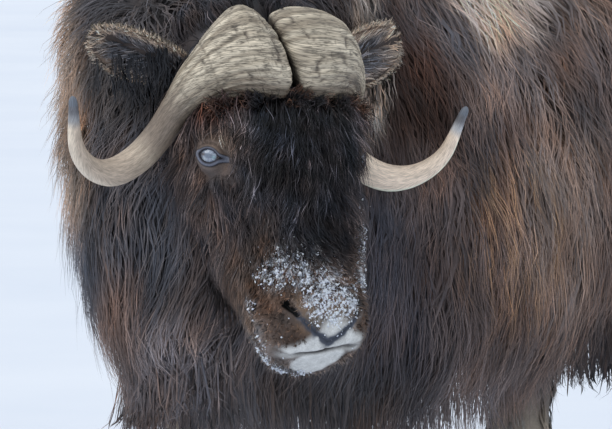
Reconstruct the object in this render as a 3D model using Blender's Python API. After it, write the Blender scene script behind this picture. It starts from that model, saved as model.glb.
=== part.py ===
"""A life-size muskox bull, standing with its head turned to its left.

The animal faces -Y and stands on the floor at z = 0. Each form is a loft: rings of
points round named stations, joined into one closed mesh. The trunk and the neck are
one sweep from rump to poll, parted by a thin cut; the head, horns, ears and eyes are
modelled in the head's own frame and turned into place by an empty.
"""

import math

import bmesh
import bpy
import numpy as np
from mathutils import Vector

# Driving dimensions, in metres and degrees.
PLAN_CENTRE = (0.0166, 0.2756)  # middle of the plan, from the point under the shoulders
CUT = 0.0004  # thin cut between two parts of the body
CLEARANCE = 0.0004  # between a part and the neighbour that is set into it

HEAD_AT = (0.325, -0.511, 0.940)  # middle of the forehead, at the front edge of the horns
HEAD_PITCH = 60.0  # nose down
HEAD_ROLL = 3.3  # right side up
HEAD_YAW = 70.0  # to the animal's left

# Trunk and neck with their coat, from rump to poll: centre x, y, turn of the ring about Z
# in degrees, half width, top z, bottom z, widest z, squareness of the hanging skirt.
TORSO = (
    (0.000, 1.300, 0, 0.060, 0.970, 0.660, 0.82, 2.2),
    (0.000, 1.282, 0, 0.165, 1.050, 0.520, 0.82, 2.4),
    (0.000, 1.210, 0, 0.265, 1.130, 0.440, 0.83, 2.6),
    (0.000, 1.080, 0, 0.335, 1.190, 0.405, 0.84, 2.9),
    (0.000, 0.900, 0, 0.382, 1.220, 0.400, 0.84, 3.0),
    (0.000, 0.680, 0, 0.408, 1.240, 0.415, 0.84, 3.2),
    (0.000, 0.450, 0, 0.415, 1.290, 0.445, 0.86, 3.4),
    (0.000, 0.270, 0, 0.405, 1.355, 0.490, 0.88, 3.6),
    (0.000, 0.110, 0, 0.392, 1.402, 0.400, 0.90, 4.2),
    (-0.006, -0.090, 0, 0.355, 1.395, 0.378, 0.94, 3.8),
    (-0.024, -0.270, 4, 0.268, 1.315, 0.410, 0.97, 2.4),
    (0.005, -0.395, 16, 0.222, 1.225, 0.430, 0.97, 2.2),
    (0.070, -0.475, 36, 0.185, 1.150, 0.450, 0.95, 2.2),
    (0.125, -0.505, 54, 0.145, 1.085, 0.510, 0.92, 2.2),
    (0.170, -0.512, 64, 0.090, 1.000, 0.600, 0.88, 2.1),
)
NECK_BEGINS = 9  # the station where the neck is cut from the trunk
TORSO_RINGS_PER_STATION = 2
TORSO_SIDES = 24
BACK_ROUNDNESS = 2.1  # superellipse exponent of a ring's upper half

# Head with its short coat: distance from the forehead towards the muzzle, half width,
# top, bottom and widest height. Heights are above the forehead in the head's frame.
HEAD = (
    (-0.215, 0.070, -0.075, -0.230, -0.150),
    (-0.195, 0.112, -0.035, -0.285, -0.150),
    (-0.140, 0.138, -0.008, -0.325, -0.140),
    (-0.060, 0.146, -0.002, -0.335, -0.120),
    (0.000, 0.151, 0.002, -0.325, -0.095),
    (0.055, 0.136, 0.001, -0.308, -0.085),
    (0.110, 0.126, -0.006, -0.285, -0.090),
    (0.165, 0.108, -0.018, -0.258, -0.095),
    (0.220, 0.095, -0.028, -0.232, -0.095),
    (0.270, 0.089, -0.036, -0.212, -0.100),
    (0.310, 0.090, -0.042, -0.197, -0.103),
    (0.340, 0.083, -0.050, -0.187, -0.108),
    (0.360, 0.067, -0.066, -0.176, -0.115),
    (0.373, 0.040, -0.088, -0.160, -0.122),
)
HEAD_SIDES = 24
HEAD_ROUNDNESS = 2.4
JAW_NARROWNESS = 0.30  # how much narrower the jaw's underside is than the face
BROW = 0.007  # how far the rim over each eye stands out

# Centreline of the left horn in the head's frame: out from the midline, towards the
# muzzle, up; then the ring's half width along the head and its half thickness.
HORN = (
    (0.010, -0.074, -0.004, 0.064, 0.020),
    (0.030, -0.074, 0.003, 0.073, 0.037),
    (0.065, -0.074, 0.001, 0.071, 0.040),
    (0.097, -0.068, -0.018, 0.055, 0.037),
    (0.124, -0.055, -0.056, 0.037, 0.031),
    (0.141, -0.036, -0.103, 0.0245, 0.024),
    (0.158, -0.010, -0.143, 0.0225, 0.0225),
    (0.189, 0.018, -0.166, 0.0225, 0.0215),
    (0.234, 0.040, -0.168, 0.0215, 0.0205),
    (0.279, 0.042, -0.151, 0.0165, 0.0160),
    (0.314, 0.023, -0.120, 0.0118, 0.0115),
    (0.333, -0.022, -0.072, 0.0065, 0.0065),
)
HORN_SIDES = 14
HORN_TIP = 0.012  # rounded end past the last ring

EYE_AT = (0.1215, 0.052, -0.078)  # out, towards the muzzle, up
EYE_RADIUS = 0.0240

# Ear: its axis from inside the skull to the tip in the head's frame; then stations
# along it with half width and share of the cup's depth.
EAR_ROOT = (0.110, -0.092, -0.104)
EAR = (
    (0.00, 0.026, 0.10),
    (0.22, 0.037, 0.50),
    (0.45, 0.044, 1.00),
    (0.65, 0.043, 1.00),
    (0.85, 0.034, 0.70),
    (0.96, 0.020, 0.20),
)
EAR_THICKNESS = 0.014
EAR_CUP = 0.024
# By side, +1 the left: the tip, and the way the cup faces (out, towards the muzzle, up).
# The left ear is turned upwards more than the right one.
EAR_TIP = {1: (0.268, -0.160, -0.092), -1: (0.268, -0.150, -0.092)}
EAR_OPENS = {1: (0.00, 0.50, 0.80), -1: (0.30, 0.80, 0.35)}

# Legs below the skirt: height, half width, half depth, centre's shift along Y.
FORELEG = (
    (0.055, 0.043, 0.044, -0.006),
    (0.085, 0.039, 0.041, 0.002),
    (0.125, 0.048, 0.052, 0.010),
    (0.200, 0.043, 0.047, 0.004),
    (0.280, 0.047, 0.052, -0.004),
    (0.340, 0.054, 0.059, -0.008),
    (0.430, 0.053, 0.060, -0.004),
    (0.560, 0.070, 0.095, 0.010),
)
HINDLEG = (
    (0.055, 0.043, 0.044, -0.006),
    (0.085, 0.039, 0.041, 0.004),
    (0.125, 0.048, 0.053, 0.014),
    (0.220, 0.042, 0.052, 0.026),
    (0.320, 0.046, 0.066, 0.042),
    (0.390, 0.052, 0.078, 0.044),
    (0.460, 0.064, 0.088, 0.010),
    (0.580, 0.084, 0.120, -0.030),
)
LEG_SIDES = 12
FEET = {  # name: leg stations, x, y
    "fore_left": (FORELEG, 0.190, 0.200),
    "fore_right": (FORELEG, -0.165, -0.165),
    "hind_left": (HINDLEG, 0.175, 0.780),
    "hind_right": (HINDLEG, -0.175, 1.020),
}

# One claw of a cloven hoof: height, half width, half length.
CLAW = (
    (0.000, 0.029, 0.062),
    (0.020, 0.029, 0.061),
    (0.045, 0.025, 0.052),
    (0.066, 0.019, 0.038),
)
CLAW_SIDES = 12
CLAW_OFFSET = 0.0305  # of the claw's middle from the foot's middle
CLAW_FORWARD = 0.022

TAIL_ROOT = (0.0, 1.245, 1.030)
TAIL_TIP = (0.0, 1.345, 0.850)
TAIL_RADIUS = 0.045

COLOURS = {  # base colour, roughness
    "coat": ((0.085, 0.050, 0.034), 0.85),
    "face": ((0.050, 0.032, 0.025), 0.85),
    "horn": ((0.46, 0.38, 0.28), 0.55),
    "eye": ((0.16, 0.18, 0.22), 0.10),
    "leg": ((0.42, 0.35, 0.27), 0.85),
    "hoof": ((0.055, 0.048, 0.042), 0.50),
}


def clear_scene():
    for old in list(bpy.data.objects):
        bpy.data.objects.remove(old)


def make_materials():
    made = {}
    for name, (colour, roughness) in COLOURS.items():
        material = bpy.data.materials.new(name)
        material.use_nodes = True
        shader = material.node_tree.nodes["Principled BSDF"]
        shader.inputs["Base Color"].default_value = (*colour, 1.0)
        shader.inputs["Roughness"].default_value = roughness
        shader.inputs["Metallic"].default_value = 0.0
        made[name] = material
    return made


def smooth_stations(table, per_station):
    """Catmull-Rom curve through the rows of a table, with extra rows between them."""
    rows = np.array(table, float)
    before = np.vstack([2 * rows[0] - rows[1], rows, 2 * rows[-1] - rows[-2]])
    steps = np.arange(per_station)[:, None] / per_station
    spans = []
    for p0, p1, p2, p3 in zip(before, before[1:], before[2:], before[3:]):
        spans.append(
            0.5
            * (
                2 * p1
                + (p2 - p0) * steps
                + (2 * p0 - 5 * p1 + 4 * p2 - p3) * steps**2
                + (3 * p1 - p0 - 3 * p2 + p3) * steps**3
            )
        )
    return np.vstack([*spans, rows[-1:]])


def superellipse(sides, upper, lower):
    """Unit ring in (across, up), with its own exponent above and below the middle."""
    turn = 2 * math.pi * np.arange(sides) / sides
    across, up = np.cos(turn), np.sin(turn)
    power = 2 / np.where(up >= 0, upper, lower)
    return (
        np.sign(across) * np.abs(across) ** power,
        np.sign(up) * np.abs(up) ** power,
    )


def loft(name, rings, material, parent, first_tip=None, last_tip=None):
    """One closed object through rings of points, with a flat cap or a tip at each end."""
    rings = np.asarray(rings, float)
    shape = bmesh.new()
    rows = [[shape.verts.new(point) for point in ring] for ring in rings]
    sides = len(rows[0])
    for row, following in zip(rows, rows[1:]):
        for i in range(sides):
            j = (i + 1) % sides
            shape.faces.new((row[i], row[j], following[j], following[i]))
    for row, tip in ((rows[0], first_tip), (rows[-1], last_tip)):
        if tip is None:
            shape.faces.new(row)
            continue
        point = shape.verts.new(tip)
        for i in range(sides):
            shape.faces.new((row[i], row[(i + 1) % sides], point))
    bmesh.ops.recalc_face_normals(shape, faces=shape.faces[:])
    bmesh.ops.triangulate(shape, faces=shape.faces[:])
    mesh = bpy.data.meshes.new(name)
    shape.to_mesh(mesh)
    shape.free()
    mesh.materials.append(material)
    mesh.shade_smooth()
    made = bpy.data.objects.new(name, mesh)
    made.parent = parent
    parts.objects.link(made)
    return made


def grown(source, amount):
    """A copy of a part with every face moved outwards, to cut its neighbour with."""
    copy = source.copy()
    copy.data = source.data.copy()
    copy.name = source.name + "_cutter"
    cutters.objects.link(copy)
    shape = bmesh.new()
    shape.from_mesh(copy.data)
    bmesh.ops.triangulate(shape, faces=shape.faces[:])
    normals = {vert: vert.normal.copy() for vert in shape.verts}
    for vert, normal in normals.items():
        vert.co += normal * amount
    shape.to_mesh(copy.data)
    shape.free()
    copy.hide_render = True
    copy.display_type = "WIRE"
    return copy


def cut_by(part, *neighbours):
    """Takes each neighbour's space, with a clearance, out of a part."""
    for neighbour in neighbours:
        cutter = grown(neighbour, CLEARANCE)
        cut = part.modifiers.new("fits_" + neighbour.name, "BOOLEAN")
        cut.operation = "DIFFERENCE"
        cut.solver = "EXACT"
        cut.object = cutter


def torso_rings(stations):
    rings = []
    for x, y, turn, half_width, top, bottom, widest, skirt in stations:
        across, up = superellipse(TORSO_SIDES, BACK_ROUNDNESS, skirt)
        height = np.where(up > 0, (top - widest) * up, (widest - bottom) * up)
        angle = math.radians(turn)
        rings.append(
            np.stack(
                [
                    x + math.cos(angle) * half_width * across,
                    y + math.sin(angle) * half_width * across,
                    widest + height,
                ],
                axis=1,
            )
        )
    return rings


def ring_middle(ring):
    return np.asarray(ring).mean(axis=0)


def add_torso(body, material):
    """Trunk and neck, one sweep parted where the neck begins."""
    trunk_stations = smooth_stations(TORSO[: NECK_BEGINS + 1], TORSO_RINGS_PER_STATION)
    neck_stations = smooth_stations(TORSO[NECK_BEGINS:], TORSO_RINGS_PER_STATION)
    neck_stations[0][1] -= CUT
    trunk_rings = torso_rings(trunk_stations)
    neck_rings = torso_rings(neck_stations)
    rump = ring_middle(trunk_rings[0]) + (0, 0.012, 0)
    poll = ring_middle(neck_rings[-1]) + (0.020, -0.008, 0)
    trunk = loft("trunk", trunk_rings, material, body, first_tip=rump)
    neck = loft("neck", neck_rings, material, body, last_tip=poll)
    return trunk, neck


def add_head(frame, material):
    across, up = superellipse(HEAD_SIDES, HEAD_ROUNDNESS, HEAD_ROUNDNESS)
    narrowing = 1 - JAW_NARROWNESS * np.clip(-up, 0, 1) ** 1.5
    rings = []
    for forward, half_width, top, bottom, widest in smooth_stations(HEAD, 2):
        height = np.where(up > 0, (top - widest) * up, (widest - bottom) * up)
        brow = np.exp(-(((forward - 0.030) / 0.035) ** 2)) * np.exp(
            -(((height + widest + 0.040) / 0.030) ** 2)
        )
        rings.append(
            np.stack(
                [
                    (half_width * narrowing + BROW * brow) * across,
                    np.full(HEAD_SIDES, -forward),
                    widest + height,
                ],
                axis=1,
            )
        )
    nose = ring_middle(rings[-1]) + (0, -0.004, 0)
    poll = ring_middle(rings[0]) + (0, 0.010, 0)
    return loft("head", rings, material, frame, first_tip=poll, last_tip=nose)


def in_head_frame(out, forward, up, side):
    return np.array([side * out, -forward, up], float)


def add_horn(name, side, frame, material):
    """Rings carried along the horn: broad over the brow, round towards the tip."""
    rows = smooth_stations(HORN, 2)
    path = np.array([in_head_frame(*row[:3], side) for row in rows])
    along = np.gradient(path, axis=0)
    along /= np.linalg.norm(along, axis=1)[:, None]
    turn = 2 * math.pi * np.arange(HORN_SIDES) / HORN_SIDES
    width_way = np.array([0.0, -1.0, 0.0])
    rings = []
    for point, way, row in zip(path, along, rows):
        width_way = width_way - way * width_way.dot(way)
        width_way /= np.linalg.norm(width_way)
        thick_way = np.cross(way, width_way)
        rings.append(
            point
            + np.outer(np.cos(turn) * row[3], width_way)
            + np.outer(np.sin(turn) * row[4], thick_way)
        )
    tip = path[-1] + along[-1] * HORN_TIP
    return loft(name, rings, material, frame, last_tip=tip)


def add_ear(name, side, frame, material):
    """A cupped leaf: flattened rings from the skull to the tip, bent round its axis."""
    root = in_head_frame(*EAR_ROOT, side)
    tip = in_head_frame(*EAR_TIP[side], side)
    way = (tip - root) / np.linalg.norm(tip - root)
    opens = in_head_frame(*EAR_OPENS[side], side)
    opens -= way * opens.dot(way)
    opens /= np.linalg.norm(opens)
    broad = np.cross(way, opens)
    sides = 12
    turn = 2 * math.pi * np.arange(sides) / sides
    rings = []
    for share, half_width, cupped in EAR:
        across = np.cos(turn) * half_width
        cup = EAR_CUP * cupped * (np.cos(turn) ** 2 - 0.5)
        deep = np.sin(turn) * EAR_THICKNESS / 2 + cup
        middle = root + (tip - root) * share
        rings.append(middle + np.outer(across, broad) + np.outer(deep, opens))
    return loft(name, rings, material, frame, last_tip=tip)


def add_eye(name, side, frame, material):
    bpy.ops.mesh.primitive_uv_sphere_add(segments=12, ring_count=8, radius=EYE_RADIUS)
    eye = bpy.context.object
    eye.name = name
    for collection in list(eye.users_collection):
        collection.objects.unlink(eye)
    parts.objects.link(eye)
    eye.data.materials.append(material)
    eye.data.shade_smooth()
    eye.parent = frame
    eye.location = Vector(in_head_frame(*EYE_AT, side))
    return eye


def oval(centre_x, centre_y, z, half_width, half_length, sides):
    turn = 2 * math.pi * np.arange(sides) / sides
    return np.stack(
        [
            centre_x + half_width * np.cos(turn),
            centre_y + half_length * np.sin(turn),
            np.full(sides, z),
        ],
        axis=1,
    )


def add_leg(foot, body, material):
    stations, x, y = FEET[foot]
    rings = []
    for z, half_width, half_depth, shift in smooth_stations(stations, 2):
        rings.append(oval(x, y + shift, z, half_width, half_depth, LEG_SIDES))
    return loft("leg_" + foot, rings, material, body)


def add_claws(foot, body, material):
    """The two claws of a cloven hoof, flat below."""
    _, x, y = FEET[foot]
    claws = []
    for which, side in (("inner", -math.copysign(1, x)), ("outer", math.copysign(1, x))):
        rings = []
        for z, half_width, half_length in CLAW:
            middle_x = x + side * CLAW_OFFSET * (1 - z)
            middle_y = y - CLAW_FORWARD + 0.35 * z
            rings.append(
                oval(middle_x, middle_y, z, half_width, half_length, CLAW_SIDES)
            )
        claws.append(loft(f"hoof_{foot}_{which}", rings, material, body))
    return claws


def add_tail(body, material):
    """The short tail, a blunt lobe under the rump's hair."""
    root, tip = np.array(TAIL_ROOT), np.array(TAIL_TIP)
    rings = []
    for share, size in ((0.0, 0.8), (0.35, 1.0), (0.7, 0.85), (0.92, 0.45)):
        middle = root + (tip - root) * share
        rings.append(
            oval(
                middle[0],
                middle[1],
                middle[2],
                TAIL_RADIUS * size,
                TAIL_RADIUS * size,
                14,
            )
        )
    return loft("tail", rings, material, body, last_tip=tip)


def main():
    materials = make_materials()
    body = bpy.data.objects.new("body_frame", None)
    body.location = (-PLAN_CENTRE[0], -PLAN_CENTRE[1], 0.0)
    head_frame = bpy.data.objects.new("head_frame", None)
    head_frame.parent = body
    head_frame.location = HEAD_AT
    head_frame.rotation_euler = (
        math.radians(HEAD_PITCH),
        math.radians(HEAD_ROLL),
        math.radians(HEAD_YAW),
    )
    for empty in (body, head_frame):
        parts.objects.link(empty)

    trunk, neck = add_torso(body, materials["coat"])
    head = add_head(head_frame, materials["face"])
    horns, eyes, ears = [], [], []
    for name, side in (("left", 1), ("right", -1)):
        horns.append(add_horn("horn_" + name, side, head_frame, materials["horn"]))
        eyes.append(add_eye("eye_" + name, side, head_frame, materials["eye"]))
        ears.append(add_ear("ear_" + name, side, head_frame, materials["coat"]))
    tail = add_tail(body, materials["coat"])
    bpy.context.view_layer.update()

    cut_by(head, *horns, *eyes)
    cut_by(neck, head, *horns, *ears)
    cut_by(tail, trunk)
    for ear in ears:
        cut_by(ear, head, *horns)
    for foot in FEET:
        leg = add_leg(foot, body, materials["leg"])
        claws = add_claws(foot, body, materials["hoof"])
        cut_by(leg, trunk, neck, *claws)


clear_scene()
parts = bpy.data.collections.new("muskox")
cutters = bpy.data.collections.new("cutters")
for group in (parts, cutters):
    bpy.context.scene.collection.children.link(group)
cutters.hide_render = True
main()
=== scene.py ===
import math

import bpy
import numpy as np
from mathutils import Matrix, Vector


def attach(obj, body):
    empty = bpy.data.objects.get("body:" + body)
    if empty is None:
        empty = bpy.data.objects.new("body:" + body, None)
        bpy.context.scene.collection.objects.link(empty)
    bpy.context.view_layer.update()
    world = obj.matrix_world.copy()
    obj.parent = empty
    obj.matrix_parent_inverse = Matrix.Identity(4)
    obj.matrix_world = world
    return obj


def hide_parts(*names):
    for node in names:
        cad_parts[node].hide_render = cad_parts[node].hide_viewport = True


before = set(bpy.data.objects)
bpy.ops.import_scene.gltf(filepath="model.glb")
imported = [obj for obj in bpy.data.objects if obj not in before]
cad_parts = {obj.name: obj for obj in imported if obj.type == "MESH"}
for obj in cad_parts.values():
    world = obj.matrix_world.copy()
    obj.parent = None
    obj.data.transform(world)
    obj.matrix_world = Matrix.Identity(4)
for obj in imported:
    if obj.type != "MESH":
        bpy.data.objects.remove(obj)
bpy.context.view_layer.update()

# A life-size muskox bull. Row frame: metres, +Z up, the head end towards -Y, the animal's
# left towards +X. One skin carries the flesh; the coat over it is locks of solid mesh.
# Functions of (p, n) take points and the surface's normals there, in arrays of any shape.

PLAN_CENTRE = np.array([.0166, .2756, 0.0])  # the row frame's origin from the shoulders' foot
TAU = 2 * math.pi
SIDES = ((-1, "right"), (1, "left"))
TORSO_ROWS = 101
MOST_TRIS = 196000  # of one piece of the coat
ROOT_DEPTH = .0015  # of a lock's root under the skin, metres
# Cells of fine pattern for each metre: across and along a lock, and round and along a horn.
STREAKS_ACROSS, STREAKS_ALONG, FIBRES_ROUND, FIBRES_ALONG = 1100, 45, 900, 70
LOCK_SHIFT = (900, 370)  # of the streaks from lock to lock, in cells
BAKE_PATCH = .003  # side of a lock's patch on the map OFBake

# ---------------------------------------------------------------- shape tables (metres)

# Trunk and neck out to the coat: centre x, y, turn, half width, top, bottom, widest, skirt.
TORSO = np.array([
    (0, 1.3, 0, .06, .97, .66, .82, 2.2), (0, 1.282, 0, .165, 1.05, .52, .82, 2.4),
    (0, 1.21, 0, .265, 1.13, .44, .83, 2.6), (0, 1.08, 0, .335, 1.19, .405, .84, 2.9),
    (0, .9, 0, .382, 1.22, .4, .84, 3), (0, .68, 0, .408, 1.24, .415, .84, 3.2),
    (0, .45, 0, .415, 1.29, .445, .86, 3.4), (0, .27, 0, .405, 1.355, .49, .88, 3.6),
    (0, .11, 0, .392, 1.402, .4, .9, 4.2), (-.006, -.09, 0, .355, 1.395, .378, .94, 3.8),
    (-.024, -.27, 4, .268, 1.315, .41, .97, 2.4), (.005, -.395, 16, .222, 1.225, .43, .97, 2.2),
    (.07, -.475, 36, .185, 1.15, .45, .95, 2.2), (.125, -.505, 54, .145, 1.085, .51, .92, 2.2),
    (.17, -.512, 64, .09, 1, .6, .88, 2.1)])
# The coat's depth at each station: at the side, on top, underneath.
TORSO_COAT = np.array([
    (.02, .03, .06), (.05, .035, .1), (.06, .035, .13), (.065, .035, .15), (.07, .035, .155),
    (.07, .035, .15), (.07, .04, .13), (.075, .055, .11), (.08, .075, .19), (.08, .08, .2),
    (.07, .075, .17), (.062, .065, .15), (.055, .055, .13), (.045, .045, .1), (.03, .04, .06)])
# Head out to the coat, in its own frame: distance forward of the forehead, half width,
# top, bottom, widest height.
HEAD = np.array([
    (-.215, .07, -.075, -.23, -.15), (-.195, .112, -.035, -.285, -.15),
    (-.14, .138, -.008, -.325, -.14), (-.06, .146, -.002, -.335, -.12),
    (0, .151, .002, -.325, -.095), (.055, .136, .001, -.308, -.085),
    (.11, .126, -.006, -.285, -.09), (.165, .108, -.018, -.258, -.095),
    (.22, .095, -.028, -.232, -.095), (.27, .089, -.036, -.212, -.1),
    (.31, .09, -.042, -.197, -.103), (.34, .083, -.05, -.187, -.108),
    (.36, .067, -.066, -.176, -.115), (.373, .04, -.088, -.16, -.122),
    (.3762, .025, -.101, -.146, -.122), (.3775, .011, -.113, -.133, -.122)])
HEAD_COAT = np.array([
    (.02, .01, .03), (.03, .015, .06), (.03, .022, .08), (.028, .022, .085), (.022, .02, .08),
    (.013, .02, .07), (.012, .017, .055), (.012, .01, .035), (.009, .006, .02), (.005, .004, .01),
    (.003, .002, .006), (.002, .001, .004), (.001, .001, .002), (.001, .001, .001),
    (.0005, .0005, .0005), (.0002, .0002, .0002)])
HEAD_AT = np.array([.325, -.511, .94]) - PLAN_CENTRE
HEAD_ANGLES = np.radians((60.0, 3.3, 70.0))  # nose down, right side up, to its left
JAW_NARROWNESS = .3
# Horn: out, forward, up, half width along the head, half thickness.
HORN = np.array([
    (.01, -.074, -.004, .064, .02), (.03, -.074, .003, .073, .037), (.065, -.074, .001, .071, .04),
    (.097, -.068, -.018, .055, .037), (.124, -.055, -.056, .037, .031),
    (.141, -.036, -.103, .0245, .024), (.158, -.01, -.143, .0225, .0225),
    (.189, .018, -.166, .0225, .0215), (.234, .04, -.168, .0215, .0205),
    (.279, .042, -.151, .0165, .016), (.314, .023, -.12, .0118, .0115),
    (.333, -.022, -.072, .0065, .0065)])
HORN_TIP = .012
# Eye, in out / forward / up of the head: middle, the way it looks, and the way from its
# middle to the tear corner.
EYE_AT = np.array([.1157, .0543, -.0769])
EYE_WAY = np.array([.7, .37, .61])
EYE_CORNER = np.array([-.707, .478, .521])
EYE_UPPER = (0.0, -1.0, .6)  # roughly towards the upper lid
EYE_RADIUS = .024
# Ear: share of its length, half width, share of the cup's depth.
EAR_ROOT = np.array([.11, -.092, -.104])
EAR = np.array([
    (0, .026, .1), (.22, .037, .5), (.45, .044, 1), (.65, .043, 1), (.85, .034, .7),
    (.96, .02, .2)])
EAR_THICKNESS, EAR_CUP = .014, .024
# By side, +1 the left: the tip, and the way the cup faces. The left ear is turned upwards.
EAR_TIP = {1: (.268, -.16, -.092), -1: (.268, -.15, -.092)}
EAR_OPENS = {1: (0.00, .5, .8), -1: (.3, .8, .35)}
# Legs out to the hair: z, half width, half depth, y shift; feet x, y.
FORELEG = np.array([
    (.055, .043, .044, -.006), (.085, .039, .041, .002), (.125, .048, .052, .01),
    (.2, .043, .047, .004), (.28, .047, .052, -.004), (.34, .054, .059, -.008),
    (.43, .053, .06, -.004), (.56, .07, .095, .01)])
HINDLEG = np.array([
    (.055, .043, .044, -.006), (.085, .039, .041, .004), (.125, .048, .053, .014),
    (.22, .042, .052, .026), (.32, .046, .066, .042), (.39, .052, .078, .044),
    (.46, .064, .088, .01), (.58, .084, .12, -.03)])
FEET = {"fore_left": (FORELEG, .19, .2), "fore_right": (FORELEG, -.165, -.165),
        "hind_left": (HINDLEG, .175, .78), "hind_right": (HINDLEG, -.175, 1.02)}
LEG_COAT = .007
TAIL_ROOT = np.array([0.0, 1.245, 1.03]) - PLAN_CENTRE
TAIL_TIP = np.array([0.0, 1.345, .85]) - PLAN_CENTRE
TAIL_RADIUS = .045
# Lines on the face, as out, forward, up.
NOSTRIL = ((.063, .304, -.055), (.055, .316, -.052), (.049, .324, -.053))
NOSE_EDGE = ((.055, .316, -.052), (.036, .338, -.055), (.02, .351, -.058), (.008, .358, -.062),
             (0, .361, -.066))
MOUTH = ((0, .371, -.079), (.018, .371, -.0795), (.036, .366, -.082), (.056, .354, -.089),
         (.072, .332, -.098))
# Where snow has caught on the face: left, forward, up, reach, share.
FROST = np.array([
    (-.03, .272, -.04, .017, 1.9), (-.004, .276, -.04, .017, 2.4), (.022, .282, -.041, .018, 2.6),
    (-.008, .302, -.044, .017, 2.2), (.018, .312, -.046, .019, 2.6), (.04, .3, -.046, .015, 1.6),
    (-.045, .25, -.042, .02, 1.3), (-.066, .262, -.055, .018, 1.5), (-.064, .232, -.05, .016, .9),
    (-.084, .25, -.068, .012, .8), (.076, .262, -.058, .016, 2.3), (.084, .225, -.062, .014, 2.2),
    (.086, .185, -.06, .013, 1.8), (.084, .145, -.056, .012, 1.6), (.086, .112, -.052, .01, .8),
    (-.06, .35, -.14, .014, 2.4), (-.038, .364, -.15, .012, 2.2), (-.01, .374, -.14, .011, 1.8),
    (-.068, .336, -.116, .015, 1.4), (-.094, .286, -.105, .012, 1.2), (-.048, .345, -.1, .012, 1),
    (.05, .352, -.092, .01, .9), (.012, .332, -.052, .013, 2.4), (-.018, .322, -.05, .012, 2.4),
    (.04, .318, -.049, .012, 2.4), (-.03, .306, -.048, .013, 1.4), (.004, .342, -.055, .01, 1.6),
    (0, .24, -.036, .03, .25), (-.058, .318, -.09, .016, .8)])
# Patches of the coat on the side that is seen closest: middle and reach in columns and
# rows of the view (0..612, 0..429), strength, root colour, tip colour. Two of them are
# painted shade and painted light, as marked.
PATCHES = (
    (480, 200, 190, 210, 1, (43, 35, 34), (106, 91, 87)),
    (560, 205, 52, 150, .85, (84, 68, 62), (176, 150, 136)),
    (515, 260, 30, 90, .22, (76, 54, 42), (150, 112, 86)),
    # painted shade: the neck and chest beside the head, dark and bluish as if in shadow
    (392, 300, 44, 150, .95, (34, 32, 36), (84, 80, 86)),
    (300, 410, 130, 42, .9, (36, 33, 35), (90, 84, 84)),
    (505, 405, 80, 40, .8, (54, 46, 46), (122, 110, 108)),
    (420, 70, 46, 90, .95, (32, 23, 20), (75, 54, 46)),
    (492, -8, 66, 70, 1, (142, 117, 102), (242, 210, 190)),
    (515, 85, 48, 42, .7, (86, 73, 66), (164, 143, 134)),
    (590, 70, 40, 60, .8, (56, 46, 44), (124, 108, 104)),
    (145, 240, 50, 160, .95, (35, 34, 37), (88, 86, 91)),
    (110, 95, 50, 60, .8, (28, 27, 29), (72, 66, 64)),
    (170, 370, 70, 50, .9, (70, 63, 64), (158, 146, 146)),
    (110, 330, 34, 70, .8, (66, 52, 46), (140, 114, 102)),
    (72, 150, 17, 100, .9, (70, 57, 50), (152, 130, 115)),
    (80, 290, 24, 70, .85, (30, 31, 36), (78, 80, 88)),
    (604, 375, 16, 48, .8, (30, 28, 31), (74, 68, 70)),
    # pale wool behind the left ear, painted lighter than its own colour as painted light against
    # the shade of ear and horn
    (374, 90, 12, 44, 1, (184, 164, 150), (248, 232, 218)),
    (366, 6, 14, 24, .75, (140, 122, 110), (214, 194, 180)))

# Reach of the lids' rings from the eye's opening, metres.
LID_RINGS = np.array([
    -.0012, -.0008, 0, .0007, .0016, .0028, .004, .0052, .0064, .0078, .0092, .0106, .012,
    .0136, .0155, .018, .021, .0245, .0285, .033, .039])

DOWN = np.array([0.0, 0.0, -1.0])
TARGET = np.array([.3278, -.7895, .7727])
CAMERA_WAY = np.array([.64034, -.76312, .08716])  # from the target to the camera
CAMERA_RIGHT = np.array([.766, .643, 0.0])
CAMERA_UP = np.array([-.056, .067, .996])
CAMERA_FAR = 9.0
VIEW_MIDDLE = (306, 214.5)
PIXEL = .00147  # metres across one of the picture's 612 columns, at the target


# ---------------------------------------------------------------- small helpers

def display(*rgb):
    """A display colour in 0..255 as linear light: ((c + .055) / 1.055) ** 2.4."""
    c = np.array(rgb, float) / 255
    return np.where(c <= .04045, c / 12.92, ((c + .055) / 1.055) ** 2.4)


def length_of(v):
    return np.linalg.norm(v, axis=-1)


def unit(v):
    return v / np.maximum(length_of(v)[..., None], 1e-9)


def ease(x, low, high):
    """0 below low, 1 above high, 3t^2 - 2t^3 between."""
    t = np.clip((x - low) / (high - low), 0, 1)
    return t * t * (3 - 2 * t)


def between(a, b, t):
    """a at t = 0, b at t = 1."""
    return a * (1 - t) + b * t


def mix(a, b, t):
    """The same for colours and directions, with one t for all their parts."""
    return between(a, b, np.asarray(t)[..., None])


def over(colour, *layers):
    """A colour with layers (display colour, share) laid over it in turn."""
    for rgb, share in layers:
        colour = mix(colour, display(*rgb), share)
    return colour


def painted(root, tip, *layers):
    """Root and tip colours with layers (share, root colour, tip colour) laid over them."""
    for share, dark, light in layers:
        root, tip = over(root, (dark, share)), over(tip, (light, share))
    return root, tip


def bell(distance, width):
    """exp(-(d / w)^2)."""
    return np.exp(-((distance / width) ** 2))


def bell_at(p, place, reach, squash=1):
    """A bell of the distance from a place, whose axes may be squashed."""
    return bell(length_of((p - place) * squash), reach)


def through(table, t):
    """Catmull-Rom curve through a table's rows, read at fractional rows t."""
    rows = np.vstack([2 * table[0] - table[1], table, 2 * table[-1] - table[-2]])
    i = np.clip(np.floor(t).astype(int), 0, len(table) - 2)
    f = (t - i)[..., None]
    p0, p1, p2, p3 = (rows[i + k] for k in range(4))
    return .5 * (2 * p1 + (p2 - p0) * f + (2 * p0 - 5 * p1 + 4 * p2 - p3) * f**2
                  + (3 * p1 - p0 - 3 * p2 + p3) * f**3)


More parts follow.
